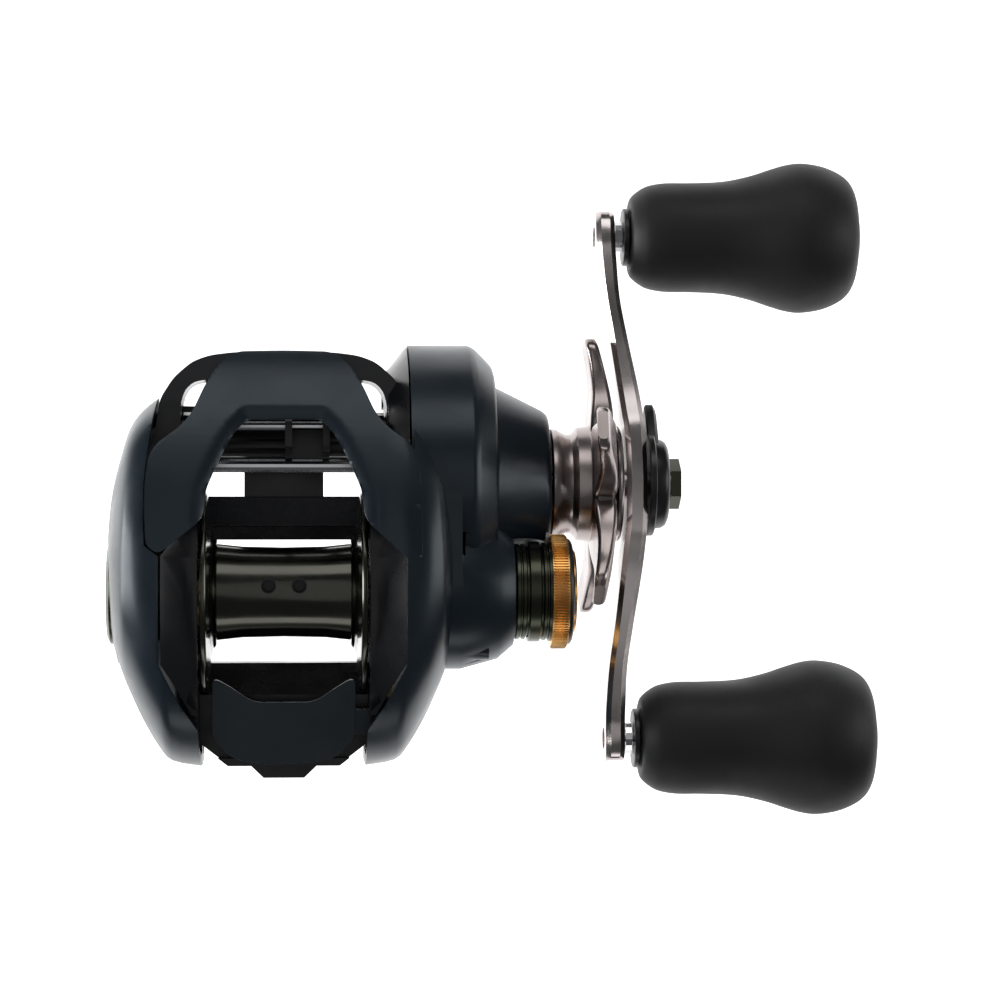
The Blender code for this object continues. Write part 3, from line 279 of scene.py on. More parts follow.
def weld(mesh, distance):
    shape = bmesh.new()
    shape.from_mesh(mesh)
    bmesh.ops.remove_doubles(shape, verts=shape.verts, dist=distance)
    bmesh.ops.recalc_face_normals(shape, faces=shape.faces)
    shape.to_mesh(mesh)
    shape.free()


PLANES = {  # rotation that turns a flat outline, so that its thickness runs along the axis
    "X": (math.pi / 2, 0.0, math.pi / 2),  # outline in (y, z)
    "Z": (0.0, 0.0, 0.0),  # outline in (x, y)
}


def plate(name, outlines, axis, low, high, material=None):
    """A flat outline with holes, given thickness from low to high along an axis."""
    curve = bpy.data.curves.new(name, "CURVE")
    curve.dimensions = "2D"
    curve.fill_mode = "BOTH"
    curve.extrude = (high - low) / 2 * MM
    for outline in outlines:
        spline = curve.splines.new("POLY")
        spline.points.add(len(outline) - 1)
        for point, (u, v) in zip(spline.points, outline):
            point.co = (u * MM, v * MM, 0, 1)
        spline.use_cyclic_u = True
    flat = bpy.data.objects.new(name + "_outline", curve)
    bpy.context.scene.collection.objects.link(flat)
    bpy.context.view_layer.update()
    graph = bpy.context.evaluated_depsgraph_get()
    mesh = bpy.data.meshes.new_from_object(flat.evaluated_get(graph))
    bpy.data.objects.remove(flat)
    weld(mesh, WELD_DISTANCE / 2)
    solid = add_object(name, mesh, material)
    solid.rotation_euler = PLANES[axis]
    solid.location["XYZ".index(axis)] = (low + high) / 2 * MM
    return solid


def rounded(points, reach, steps):
    """The same closed outline with every corner rounded off over a reach along both sides."""
    result = []
    for i, corner in enumerate(points):
        here = Vector(corner)
        before = Vector(points[i - 1]) - here
        after = Vector(points[(i + 1) % len(points)]) - here
        room = min(reach, 0.45 * before.length, 0.45 * after.length)
        start, end = here + before.normalized() * room, here + after.normalized() * room
        for k in range(steps + 1):
            t = k / steps
            point = start * (1 - t) ** 2 + here * (2 * t * (1 - t)) + end * t ** 2
            result.append((point.x, point.y))
    return result


def bent_plate(name, outlines, thickness, edge, height, spacing=0.6, material=None):
    """A plate with softened edges, laid over a surface whose height is given by a function."""
    solid = plate(name, outlines, "Z", -thickness, 0.0, material)
    soften = solid.modifiers.new("Soften", "BEVEL")
    soften.width = edge * MM
    soften.segments = 4
    soften.limit_method = "ANGLE"
    soften.angle_limit = math.radians(60)
    apply_modifiers(solid)
    mesh = bmesh.new()
    mesh.from_mesh(solid.data)
    bmesh.ops.transform(mesh, matrix=solid.matrix_world, verts=mesh.verts)
    for axis in (0, 1):
        places = [v.co[axis] for v in mesh.verts]
        for i in range(math.ceil(min(places) / (spacing * MM)), math.floor(max(places) / (spacing * MM)) + 1):
            place, normal = Vector((0, 0, 0)), Vector((0, 0, 0))
            place[axis], normal[axis] = (i * spacing + 0.013) * MM, 1.0  # clear of the outline's points
            bmesh.ops.bisect_plane(mesh, geom=mesh.verts[:] + mesh.edges[:] + mesh.faces[:], plane_co=place,
                                   plane_no=normal, dist=1e-7)
    for vertex in mesh.verts:
        vertex.co.z += height(vertex.co.x / MM, vertex.co.y / MM) * MM
    bmesh.ops.triangulate(mesh, faces=[face for face in mesh.faces if len(face.verts) > 4])
    mesh.to_mesh(solid.data)
    mesh.free()
    solid.matrix_world.identity()
    solid.location = (0, 0, 0)
    solid.rotation_euler = (0, 0, 0)
    return solid


def distance_to(path, x, y):
    """Shortest distance in the plane from a point to an open line."""
    here, nearest = Vector((x, y)), 1e9
    for start, end in zip(path, path[1:]):
        a, b = Vector(start), Vector(end)
        along = max(0.0, min(1.0, (here - a).dot(b - a) / (b - a).length_squared))
        nearest = min(nearest, (a + (b - a) * along - here).length)
    return nearest


def turned(name, axis, profile, material=None, steps=32, direction="X"):
    """A turned shape. The profile's points are (distance along the axis, radius), from the low end to
    the high end on the outside, then back on the inside if it's bored. The axis is (y, z) when it
    runs along X, and (x, y) when it runs along Z."""
    bored = profile[0][1] > 0
    mesh = bpy.data.meshes.new(name)
    points = [(radius * MM, 0.0, along * MM) for along, radius in reversed(profile)]
    edges = [(i, i + 1) for i in range(len(points) - 1)]
    if bored:
        edges.append((len(points) - 1, 0))
    mesh.from_pydata(points, edges, [])
    obj = add_object(name, mesh, material)
    screw = obj.modifiers.new("Turn", "SCREW")
    screw.steps = screw.render_steps = steps * DETAIL
    screw.use_merge_vertices = True
    screw.merge_threshold = 1e-6
    if direction == "X":
        obj.rotation_euler = (0.0, math.pi / 2, 0.0)
        obj.location = (0.0, axis[0] * MM, axis[1] * MM)
    else:
        obj.location = (axis[0] * MM, axis[1] * MM, 0.0)
    return obj


def disc(name, axis, low, high, radius, steps=24):
    """A disc about an axis along X."""
    mesh = bpy.data.meshes.new(name)
    shape = bmesh.new()
    bmesh.ops.create_cone(shape, cap_ends=True, segments=steps * DETAIL, radius1=radius * MM,
                          radius2=radius * MM, depth=(high - low) * MM)
    bmesh.ops.rotate(shape, verts=shape.verts, matrix=Matrix.Rotation(math.pi / 2, 3, "Y"))
    bmesh.ops.rotate(shape, verts=shape.verts, matrix=Matrix.Rotation(DISC_PHASE, 3, "X"))
    shape.to_mesh(mesh)
    shape.free()
    obj = add_object(name, mesh, None)
    obj.location = Vector(((low + high) / 2, *axis)) * MM
    return obj


def upright(name, centre, radius, length, sides):
    """A cylinder along Z about its centre."""
    mesh = bpy.data.meshes.new(name)
    shape = bmesh.new()
    bmesh.ops.create_cone(shape, cap_ends=True, segments=sides, radius1=radius * MM,
                          radius2=radius * MM, depth=length * MM)
    shape.to_mesh(mesh)
    shape.free()
    obj = add_object(name, mesh, None)
    obj.location = Vector(centre) * MM
    return obj


def box(name, low, high):
    mesh = bpy.data.meshes.new(name)
    shape = bmesh.new()
    size = [b - a for a, b in zip(low, high)]
    bmesh.ops.create_cube(shape, size=1.0, matrix=Matrix.Diagonal((*[s * MM for s in size], 1)))
    shape.to_mesh(mesh)
    shape.free()
    obj = add_object(name, mesh, None)
    obj.location = Vector([(a + b) / 2 for a, b in zip(low, high)]) * MM
    return obj


def loft(name, sections, material=None):
    """A closed skin through rings of points that have the same count. Points are (x, y, z)."""
    count = len(sections[0])
    points = [tuple(v * MM for v in point) for ring in sections for point in ring]
    faces = [tuple(range(count))[::-1]]
    for s in range(len(sections) - 1):
        for i in range(count):
            j = (i + 1) % count
            faces.append((s * count + i, s * count + j, (s + 1) * count + j, (s + 1) * count + i))
    faces.append(tuple((len(sections) - 1) * count + i for i in range(count)))
    mesh = bpy.data.meshes.new(name)
    mesh.from_pydata(points, [], faces)
    shape = bmesh.new()
    shape.from_mesh(mesh)
    bmesh.ops.triangulate(shape, faces=[f for f in shape.faces if len(f.verts) == 4])
    bmesh.ops.recalc_face_normals(shape, faces=shape.faces)
    shape.to_mesh(mesh)
    shape.free()
    return add_object(name, mesh, material)


def boolean(target, other, operation):
    modifier = target.modifiers.new(operation.title(), "BOOLEAN")
    modifier.object = other
    modifier.operation = operation
    return target


def cut(target, *cutters):
    for cutter in cutters:
        boolean(target, cutter, "DIFFERENCE")
    return target


def unite(target, *others):
    for other in others:
        boolean(target, other, "UNION")
    return target


def top_height(y):
    """Height of the covers' outer surface at y."""
    line = smooth_line(TOP_LINE, 6)
    for (y0, z0), (y1, z1) in zip(line, line[1:]):
        if y0 <= y <= y1:
            return z0 + (z1 - z0) * (y - y0) / (y1 - y0)
    return line[0][1] if y < line[0][0] else line[-1][1]


# ---- Body skin --------------------------------------------------------------------------------
SKIN_FROM, SKIN_TO = 18.8, 30.1  # over this stretch the ends of the body take on their thickness


def body_ring(x, front, rear, scale, inset):
    """Section of the body at x, drawn in by an inset."""
    outline = smooth_line(BODY_SECTION, 6, closed=True)
    low = min(y for y, z in outline)
    high = max(y for y, z in outline)
    ring = [(rear + (y - low) * (front - rear) / (high - low),
             BODY_CENTRE_Z + (z - BODY_CENTRE_Z) * scale) for y, z in outline]
    if inset:
        moved = []
        for i, (y, z) in enumerate(ring):
            (y0, z0), (y1, z1) = ring[i - 1], ring[(i + 1) % len(ring)]
            length = math.hypot(y1 - y0, z1 - z0)
            moved.append((y - (z1 - z0) / length * inset, z + (y1 - y0) / length * inset))
        ring = moved
    return [(x, y, z) for y, z in ring]


def body_half(name, side, material=None):
    """Hollow half of the body, open towards the middle. side is -1 for the palm side."""
    stations = smooth_line(BODY_STATIONS, 3)
    outer = [body_ring(side * x, front, rear, scale, 0) for x, front, rear, scale in stations]
    inner = []
    for x, front, rear, scale in stations:
        share = min(1.0, max(0.0, (x - SKIN_FROM) / (SKIN_TO - SKIN_FROM))) ** 0.5
        inner.append(body_ring(side * (x - COVER_THICKNESS * share), front, rear, scale, COVER_THICKNESS))
    inner[0] = [(side * 10.0, y, z) for _, y, z in inner[0]]
    skin = loft(name, outer, material)
    return cut(skin, loft(name + "_hollow", inner))


def drum_outline(grow):
    """Outline in (y, z) around the drive axis circle and the spool axis circle."""
    big, small = DRUM_RADIUS + grow, CAST_BOSS_RADIUS + grow
    across = (SPOOL_AXIS[0] - DRIVE_AXIS[0], SPOOL_AXIS[1] - DRIVE_AXIS[1])
    distance = math.hypot(*across)
    towards = math.degrees(math.atan2(across[1], across[0]))
    tangent = math.degrees(math.acos((big - small) / distance))
    return (arc(DRIVE_AXIS, big, towards + tangent, towards + 360 - tangent, 100)
            + arc(SPOOL_AXIS, small, towards - tangent, towards + tangent, 50))


def drum_way(name):
    """Cutter that keeps the right cover and the hood clear of the gear cover."""
    return plate(name, [drum_outline(0.35)], "X", 20.9, 40.0)


# ---- Frame ------------------------------------------------------------------------------------
PLATE_OUTLINE = [  # side plates, as (y, z)
    (29.0, 21.5), (30.2, 20.5), (30.8, 17.5), (29.8, 14.5), (27.2, 9.6), (21.0, 3.9), (8.0, -1.4),
    (-9.0, -1.0), (-18.6, 5.2), (-25.0, 13.6), (-26.0, 21.0), (-25.6, 27.0), (-23.0, 32.4),
    (-18.0, 37.0), (-12.0, 38.8), (-4.0, 39.8), (6.0, 39.6), (16.0, 37.6), (25.0, 34.2), (29.0, 31.0),
]
POST_SPREAD = 9.0  # from the spool's axis to each post of the clutch yoke
SCREW_CIRCLE = 21.9  # from the drive axis to the cover screws inside the drum
SCREW_POST, SCREW_BORE = 2.2, 1.3  # radii
FOOT_SCREW_Y = (12.2, 20.0, -17.0, -25.0)
BRAKE_BORE_RADIUS = 11.6  # through the left plate, around the brake
SCREW_PLACES = [
    (DRIVE_AXIS[0] + SCREW_CIRCLE * math.cos(a), DRIVE_AXIS[1] + SCREW_CIRCLE * math.sin(a))
    for a in (math.radians(-45), math.radians(-104))
] + [(-9.2, 30.2)]


def yoke_post_places():
    u = (DRIVE_AXIS[1] - SPOOL_AXIS[1], DRIVE_AXIS[0] - SPOOL_AXIS[0])
    length = math.hypot(*u)
    step = (-u[0] / length * POST_SPREAD, u[1] / length * POST_SPREAD)
    return [(SPOOL_AXIS[0] + k * step[0], SPOOL_AXIS[1] + k * step[1]) for k in (1, -1)]


def rail(name, side):
    """Black rail beside the spool, sloping down towards it, with the seam as its outer edge."""
    sections = []
    inner = PLATE_INNER + 0.15
    for y, outer in ((-20.3, 15.4), (-15.0, 18.2), (-11.5, RAIL_OUTER), (-4.0, RAIL_OUTER),
                     (6.4, RAIL_OUTER), (9.6, 18.0), (13.4, 15.0)):
        top = top_height(y)
        slope = (outer - inner) / (RAIL_OUTER - inner)
        ring = [(inner, y, top - 9.6), (inner, y, top - 5.3),
                (outer, y, top - 5.3 + 3.1 * slope), (outer, y, top - 7.1)]
        sections.append([(side * px, py, pz) for px, py, pz in ring])
    return loft(name, sections)


def nose_arch():
    outer = HOOD_EDGE[3:] + [(0.0, 41.1)] + [(-x, y) for x, y in reversed(HOOD_EDGE[3:])]
    corner = [(17.5, 24.3), (17.5, 32.0), (16.8, 34.3), (15.4, 35.7), (12.8, 36.2)]
    inner = corner + [(-x, y) for x, y in reversed(corner)]
    arch = plate("nose_arch", [rounded(outer + inner, 1.3, 4)], "Z", 12.4, 26.2)
    return cut(arch, box("line_window", (-9.6, 30.0, 14.6), (9.6, 46.0, 24.4)))


def make_cup():
    """Round pan behind the gear cover, open where the clutch and the pinion work."""
    cup = turned("gear_cup", DRIVE_AXIS,
                 [(15.6, 0), (15.6, 10.2), (17.7, 12.3), (17.7, 19.6), (18.3, 20.2), (21.1, 23.8),
                  (21.1, 22.2), (19.2, 18.9), (19.2, 11.7), (17.0, 9.5), (17.0, 0)])
    return cut(cup, disc("clutch_well", SPOOL_AXIS, 17.3, 24.0, 13.0, 28))


def make_rear_deck():
    deck = plate("rear_deck", [[(-23.5, 12.5), (-23.5, 18.4), (-17.9, 18.4), (-12.7, 12.2), (-12.7, 6.0),
                                (-17.0, 5.6)]], "X", -15.0, 15.0)
    unite(deck, plate("rear_block", [[(-30.0, 3.1), (-30.0, 18.0), (-18.2, 18.0), (-13.0, 11.8), (-13.0, 5.0),
                                      (-14.5, 2.9), (-29.5, 2.9)]], "X", -14.6, 14.6),
          box("rear_band", (-13.5, -30.0, 17.0), (13.5, -28.7, 20.8)))
    corners = {side: [(side * 14.0, -26.6), (side * 8.8, -30.6), (side * 14.0, -30.6)] for side in (-1, 1)}
    return cut(deck, *(plate(f"deck_corner_{side}", [corner[::side]], "Z", 2.0, 25.0)
                       for side, corner in corners.items()))


def make_tray():
    """Floor of the level wind's bay, out to the nose."""
    tray = plate("tray", [[(22.4, 8.0), (22.4, 11.2), (30.0, 11.2), (37.5, 14.6), (40.5, 14.6), (40.5, 12.7),
                           (31.0, 8.0)]], "X", -13.5, 13.5)
    return unite(tray, box("tray_ends", (-15.0, 22.6, 8.4), (15.0, 26.2, 11.0)))


def frame_ways():
    """Cutters for what is seated in the frame or passes through it."""
    ways = [
        disc("bearing_seat", SPOOL_AXIS, 13.0, 16.4, 4.8, 24),
        disc("pinion_way", SPOOL_AXIS, 13.0, 19.0, 3.4, 20),
        disc("shaft_bearing_seat", DRIVE_AXIS, 14.9, 19.0, 4.5, 24),
        box("tab_slot", (13.5, -24.6, 19.2), (17.9, -19.4, 27.4)),
        disc("worm_seat", WORM_AXIS, -16.95, 17.6, 1.3, 16),
        disc("worm_gear_way", WORM_AXIS, 17.35, 20.4, 4.2, 20),
        plate("drum_way", [drum_outline(0.6)], "X", 21.25, 34.0),
    ]
    for i, (place, radius) in enumerate(((REAR_ROD_AXIS, 1.5), (FRONT_ROD_AXIS, 1.2))):
        ways.append(disc(f"rod_seat_{i}", place, -16.2, 16.2, radius, 12))
    for i, place in enumerate(yoke_post_places()):
        ways.append(disc(f"post_seat_{i}", place, 15.0, 18.0, 1.5, 12))
    for i, place in enumerate(SCREW_PLACES):
        ways.append(disc(f"screw_seat_{i}", place, 17.8, 22.0, SCREW_BORE, 12))
    for i, y in enumerate(FOOT_SCREW_Y):
        ways.append(upright(f"foot_screw_seat_{i}", (0, y, 3.6), SCREW_BORE, 7.2, 12))
    return ways


def make_frame():
    frame = plate("frame", [PLATE_OUTLINE, circle(SPOOL_AXIS, BRAKE_BORE_RADIUS, 32)[::-1]], "X",
                  -PLATE_OUTER, -PLATE_INNER, "frame_black")
    right = plate("right_plate", [PLATE_OUTLINE], "X", PLATE_INNER, PLATE_OUTER)
    front_deck = plate("front_deck", [[(8.7, 4.0), (8.7, 8.0), (11.0, 10.3), (16.3, 11.4), (16.3, 2.9),
                                       (9.8, 2.9)]], "X", -15.0, 15.0)
    spine = box("spine", (-6.9, 15.0, 2.9), (6.9, 23.5, 9.9))
    unite(frame, right, make_cup(), make_rear_deck(), front_deck, spine, make_tray(), nose_arch(),
          rail("left_rail", -1), rail("right_rail", 1))
    for i, place in enumerate(SCREW_PLACES):  # the first two posts stand in the cup, the third on the plate
        unite(frame, disc(f"frame_post_{i}", place, 17.4 if i < 2 else 16.4, 21.1, SCREW_POST, 12))
    cut(frame, *frame_ways())
    return show(frame, ["frame"], 0.35)


# ---- Covers -----------------------------------------------------------------------------------
def middle_region(grow):
    """Outline in (x, y) of everything the palm cover keeps clear of, seen from above."""
    edge = SEAM + HOOD_EDGE[:7]
    return [(x - grow, y) for x, y in edge] + [(-15.6 - grow, 60.0), (40.0, 60.0), (40.0, -34.0)]


def make_palm_side():
    cover = body_half("palm_cover", -1, "cover_paint")
    upper = plate("palm_cover_opening", [middle_region(GAP)], "Z", 12.0, 60.0)
    floor = disc("dial_floor", SPOOL_AXIS, -28.0, -26.4, 12.0, 28)
    boss = disc("bearing_boss", SPOOL_AXIS, -27.0, -18.6, 6.4)
    cut(cover, upper, disc("dial_way", SPOOL_AXIS, -32.0, -27.9, 9.2, 28))
    unite(cover, floor, boss)
    cut(cover, disc("left_bearing_seat", SPOOL_AXIS, -21.0, -18.0, 4.3, 20),
        disc("left_shaft_way", SPOOL_AXIS, -24.0, -18.0, 2.0, 12))
    dial = turned("brake_dial", SPOOL_AXIS, [(-29.8, 0), (-29.8, 7.8), (-29.3, 8.8), (-28.2, 8.8),
                                             (-28.2, 0)], "olive_metal", 28)
    cut(dial, box("dial_grip_slot", (-32.0, -6.5, 24.2), (-29.2, 6.5, 25.8)))
    show(cover, ["palm_cover"], 0.3)
    show(dial, ["brake_dial"], 0.25)


LEG = [(13.3, 12.6), (13.0, 17.2), (11.7, 20.3), (9.4, 25.1), (7.9, 27.4), (6.1, 29.2)]
WINDOW = [(-x, y) for x, y in LEG] + LEG[::-1]  # the hood's opening over the level wind, as (x, y)
CROWN_DROP = 0.4  # of the hood's crown, over HALF_SPAN to each side
HALF_SPAN = 23.0
BLEND_FROM, BLEND_WIDTH = 17.0, 4.0  # where the hood's crown runs into the right half's skin
WINDOW_SLOPE, SLOPE_DEPTH = 2.4, 1.0  # band along the window's edge that slopes down to it


def hood_height(skin, x, y):
    """The hood's top: a low crown that runs into the skin of the right half."""
    crown = top_height(y) - CROWN_DROP * (x / HALF_SPAN) ** 2
    if x > BLEND_FROM:
        above = skin.matrix_world.inverted() @ Vector((x * MM, y * MM, 0.08))
        found, place, _, _ = skin.ray_cast(above, Vector((0, 0, -1)))
        if found:
            share = min(1.0, (x - BLEND_FROM) / BLEND_WIDTH)
            crown = crown * (1 - share) + (place.z / MM + 0.03) * share
    return crown - SLOPE_DEPTH * max(0.0, 1.0 - distance_to(WINDOW, x, y) / WINDOW_SLOPE) ** 1.5


def make_top_cover():
    """Right half of the body, behind the gear cover."""
    cover = body_half("top_cover", 1, "cover_paint")
    opening = [(-x, y) for x, y in SEAM] + [(-60.0, 6.4), (-60.0, -34.0)]
    front = [(-50.0, 6.4), (21.9, 6.4), (21.9, 20.0), (21.9, 60.0), (-50.0, 60.0)]
    cut(cover, plate("top_cover_opening", [opening], "Z", 12.3, 60.0),
        plate("top_cover_front", [front], "Z", -20.0, 60.0),
        disc("cup_way", DRIVE_AXIS, 12.0, 40.0, DRUM_RADIUS + 0.4, 36), drum_way("gear_cover_way"))
    return show(cover, ["top_cover"], 0.3)


def make_hood():
    """Part of the top cover over the level wind, with a link that joins it to the right half."""
    skin = body_half("top_cover_skin", 1)
    bpy.context.view_layer.update()
    left = [(-8.2, 40.8), (-11.0, 38.6), (-13.1, 35.2), (-15.9, 28.9), (-22.2, 24.3), (-22.9, 18.4),
            (-22.9, 12.0), (-22.7, 8.2), (-20.7, 6.75)]
    right = [(20.45, 5.9), (22.9, 5.9), (22.9, 18.4), (22.2, 24.3), (15.9, 28.9), (13.1, 35.2),
             (11.0, 38.6), (8.2, 40.8)]
    outline = rounded([(0.0, 41.0)] + left + WINDOW + right, 3.2, 6)
    hood = bent_plate("hood", [outline], HOOD_THICKNESS, 0.75, lambda x, y: hood_height(skin, x, y))
    cut(hood, drum_way("hood_drum_way"))
    link = cut(box("hood_link", (19.5, 8.5, 41.0), (22.6, 15.0, 41.9)), drum_way("link_drum_way"))
    return show(joined("hood", [hood, link], "cover_paint"), ["top_cover"], angle=50)


def gear_cover_solid():
    """A drum, its tapering boss for the drag, and the cast control's boss, still solid."""
    base = plate("gear_cover", [drum_outline(-0.12)], "X", 21.5, 29.8, "cover_paint")
    drum = turned("gear_cover_drum", DRIVE_AXIS,
                  [(21.4, 0), (21.4, DRUM_RADIUS), (31.6, DRUM_RADIUS), (32.1, DRUM_RADIUS - 0.1),
                   (32.6, DRUM_RADIUS - 0.35), (33.1, 23.4), (35.6, 20.9), (36.0, 20.3), (36.2, 19.6),
                   (36.3, 17.4), (36.45, 17.0), (36.8, 16.8), (44.6, 12.9), (45.2, 12.5), (45.6, 12.1),
                   (45.8, 11.6), (45.8, 0)], steps=40)
    cast = turned("gear_cover_cast", SPOOL_AXIS,
                  [(22.4, 0), (22.4, CAST_BOSS_RADIUS), (30.0, CAST_BOSS_RADIUS), (36.3, 11.5), (39.0, 9.2),
                   (39.0, 0)], steps=24)
    return unite(base, drum, cast)


def make_gear_cover():
    cover = gear_cover_solid()
    cut(cover, disc("cast_knob_way", SPOOL_AXIS, 39.05, 46.5, 9.1),
        disc("cast_grip_way", SPOOL_AXIS, 45.0, 47.0, 10.3))
    unite(cover, disc("cast_neck", SPOOL_AXIS, 38.0, 43.4, 5.6, 16))
    hollow = plate("gear_cover_hollow", [drum_outline(-1.6)], "X", 20.0, 30.4)
    drum = turned("gear_cover_drum_hollow", DRIVE_AXIS,
                  [(20.0, 0), (20.0, 22.5), (31.6, 22.5), (34.3, 19.4), (34.5, 9.6), (42.4, 9.6),
                   (42.4, 0)], steps=28)
    cut(cover, hollow, drum)
    for i, place in enumerate(SCREW_PLACES):
        unite(cover, disc(f"cover_post_{i}", place, 21.7, 34.6, SCREW_POST, 12))
    cut(cover, disc("sleeve_way", DRIVE_AXIS, 42.0, 48.0, 5.2),
        disc("shaft_bore", SPOOL_AXIS, 28.0, 46.0, 3.4, 20),
        disc("pinion_bearing_seat", SPOOL_AXIS, 28.0, 36.0, 4.8, 20))
    for i, place in enumerate(SCREW_PLACES):
        if i < 2:  # the third screw's head is covered
            cut(cover, disc(f"screw_head_way_{i}", place, 32.5, 42.0, 2.0, 12))
        cut(cover, disc(f"screw_shank_way_{i}", place, 20.0, 34.0, SCREW_BORE, 12))
    return show(cover, ["gear_cover"], 0.3)


# ---- Thumb bar --------------------------------------------------------------------------------
def make_thumb_bar():
    outline = rounded([(12.1, -24.9), (12.1, -14.4), (9.3, -15.9), (6.3, -18.0), (4.4, -18.7), (-4.4, -18.7),
                       (-6.3, -18.0), (-9.3, -15.9), (-12.1, -14.4), (-12.1, -24.9), (-8.6, -28.3),
                       (-4.0, -29.1), (4.0, -29.1), (8.6, -28.3)], 1.6, 4)
    bar = plate("thumb_bar", [outline], "Z", 25.4, 27.0, "cover_paint")
    skirt = [(10.9, -24.4), (10.9, -20.4), (-10.9, -20.4), (-10.9, -24.4), (-8.0, -27.2), (8.0, -27.2)]
    unite(bar, plate("thumb_bar_skirt", [skirt], "Z", 23.2, 26.0),
          box("thumb_bar_tab", (10.0, -24.2, 23.8), (19.3, -20.0, 26.4)))
    return show(bar, ["thumb_bar"], 0.45)


# ---- Spool ------------------------------------------------------------------------------------
def make_spool():
    w, rim = SPOOL_HALF_WIDTH, SPOOL_RADIUS
    half = [(w, rim - 1.4), (w, rim - 0.4), (w - 0.15, rim - 0.1), (w - 0.45, rim), (w - 0.8, rim),
            (w - 1.05, rim - 0.2), (w - 1.15, rim - 0.6), (w - 1.8, 10.4), (w - 1.95, 9.7), (w - 2.4, 9.35),
            (w - 2.6, 9.1), (w - 2.7, ARBOR_RADIUS_END), (w - 7.0, ARBOR_RADIUS_MIDDLE + 0.15),
            (0.0, ARBOR_RADIUS_MIDDLE)]
    outside = [(-x, r) for x, r in half] + half[-2::-1]
    hollow = [(w - 0.6, 15.4), (w - 2.9, 6.6), (w - 2.9, 3.4), (5.0, 3.4), (5.0, 1.8)]
    spool = turned("spool", SPOOL_AXIS, outside + hollow + [(-x, r) for x, r in reversed(hollow)],
                   "spool_metal", 44)
    for i, x in enumerate((-2.6, 2.6)):
        cut(spool, upright(f"line_hole_{i}", (x, 1.2, 32.0), 1.25, 9.0, 32))
        # Dark cup inside each line hole: painted shade standing in for the hole's unlit depth
        painted_hole_shade = turned(f"line_hole_painted_shade_{i}", (x, 1.2), [(27.6, 0), (27.6, 1.4), (32.4, 1.4), (32.4, 1.1),
                                                         (28.0, 1.0), (28.0, 0)], "frame_black", 12, "Z")
        show(painted_hole_shade, ["spool"])
    return show(spool, ["spool"], 0.12)


# ---- Handle and star --------------------------------------------------------------------------
def joined(name, meshes, material):
    """One object from several overlapping closed shapes."""
    whole = bmesh.new()
    for obj in meshes:
        apply_modifiers(obj)
        bpy.context.view_layer.update()
        mesh = obj.data.copy()
        mesh.transform(obj.matrix_world)
        whole.from_mesh(mesh)
    mesh = bpy.data.meshes.new(name)
    whole.to_mesh(mesh)
    whole.free()
    return add_object(name, mesh, material)


def about_drive(radius, angle, x):
    return (x, DRIVE_AXIS[0] + radius * math.cos(angle), DRIVE_AXIS[1] + radius * math.sin(angle))


STAR_SECTIONS = [  # (distance from the drive axis, inner x, outer x, half width)
    (7.5, 53.0, 57.0, 6.4), (10.5, 53.1, 57.1, 6.4), (13.0, 53.3, 57.0, 5.9), (16.0, 53.5, 56.6, 5.0),
    (19.0, 53.3, 56.0, 4.4), (22.0, 52.9, 55.3, 4.2), (24.0, 52.6, 54.8, 3.8), (25.2, 52.6, 54.4, 2.6),
]


def star_arm(name, angle):
    sections = []
    for radius, low, high, half in smooth_line(STAR_SECTIONS, 5):
        ring = rounded_box((low, -half), (high, half), min(0.8, half * 0.6, (high - low) * 0.4), 4)
        sections.append([about_drive(math.hypot(radius, w), angle + math.atan2(w, radius), x)
                         for x, w in ring])
    return loft(name, sections)


def make_star():
    hub = turned("star_hub", DRIVE_AXIS,
                 [(46.2, 2.8), (46.2, 9.2), (46.5, 9.6), (47.3, 9.6), (48.0, 9.2), (49.0, 8.7), (49.8, 8.7),
                  (50.5, 9.3), (50.8, 9.9), (52.8, 10.1), (53.2, 10.5), (53.6, 11.2), (54.2, 11.5),
                  (56.3, 11.3), (56.8, 10.8), (57.1, 9.8), (57.1, 2.8)], None, 40)
    arms = [star_arm(f"star_arm_{i}", STAR_PHASE + 2 * math.pi * i / STAR_ARMS) for i in range(STAR_ARMS)]
    return show(joined("star_drag", [hub] + arms, "star_metal"), ["star_drag"], angle=40)


SHAFT_BORE, SPINDLE_BORE = 2.8, 1.8  # radii
ARM_SECTIONS = [  # (distance from the drive axis, inner x, outer x, half width)
    (0.0, 59.3, 62.9, 7.2), (8.0, 59.1, 62.7, 7.0), (11.7, 58.7, 62.4, 6.3), (17.0, 58.1, 61.7, 5.2),
    (24.9, 57.1, 60.3, 4.5), (32.7, 55.9, 59.0, 4.4), (39.5, 55.2, 58.5, 4.8), (43.0, 55.0, 58.3, 5.2),
    (46.5, 55.0, 58.3, 4.8), (48.2, 55.05, 58.25, 3.7), (48.8, 55.1, 58.2, 2.6),
]


def tilted(points):
    """Points given along the handle, as (x, distance from the drive axis, offset), turned into place."""
    turn = Matrix.Rotation(HANDLE_TILT, 3, "X")
    placed = [turn @ Vector(point) for point in points]
    return [(v.x, v.y + DRIVE_AXIS[0], v.z + DRIVE_AXIS[1]) for v in placed]


def make_arm():
    rows = smooth_line([(-r, low, high, half) for r, low, high, half in reversed(ARM_SECTIONS[1:])]
                       + ARM_SECTIONS, 5)
    sections = []
    for r, low, high, half in rows:
        sections.append(tilted([(x, r, w) for x, w in rounded_box((low, -half), (high, half), 0.85, 2)]))
    arm = loft("handle_arm", sections, "handle_metal")
    cut(arm, disc("arm_bore", DRIVE_AXIS, 55.0, 66.0, SHAFT_BORE, 20))
    for name, axis in knob_axes().items():
        cut(arm, disc(f"{name}_spindle_way", axis, 50.0, 62.0, SPINDLE_BORE, 16))
    return show(arm, ["handle_arm"], 0.18, angle=25)


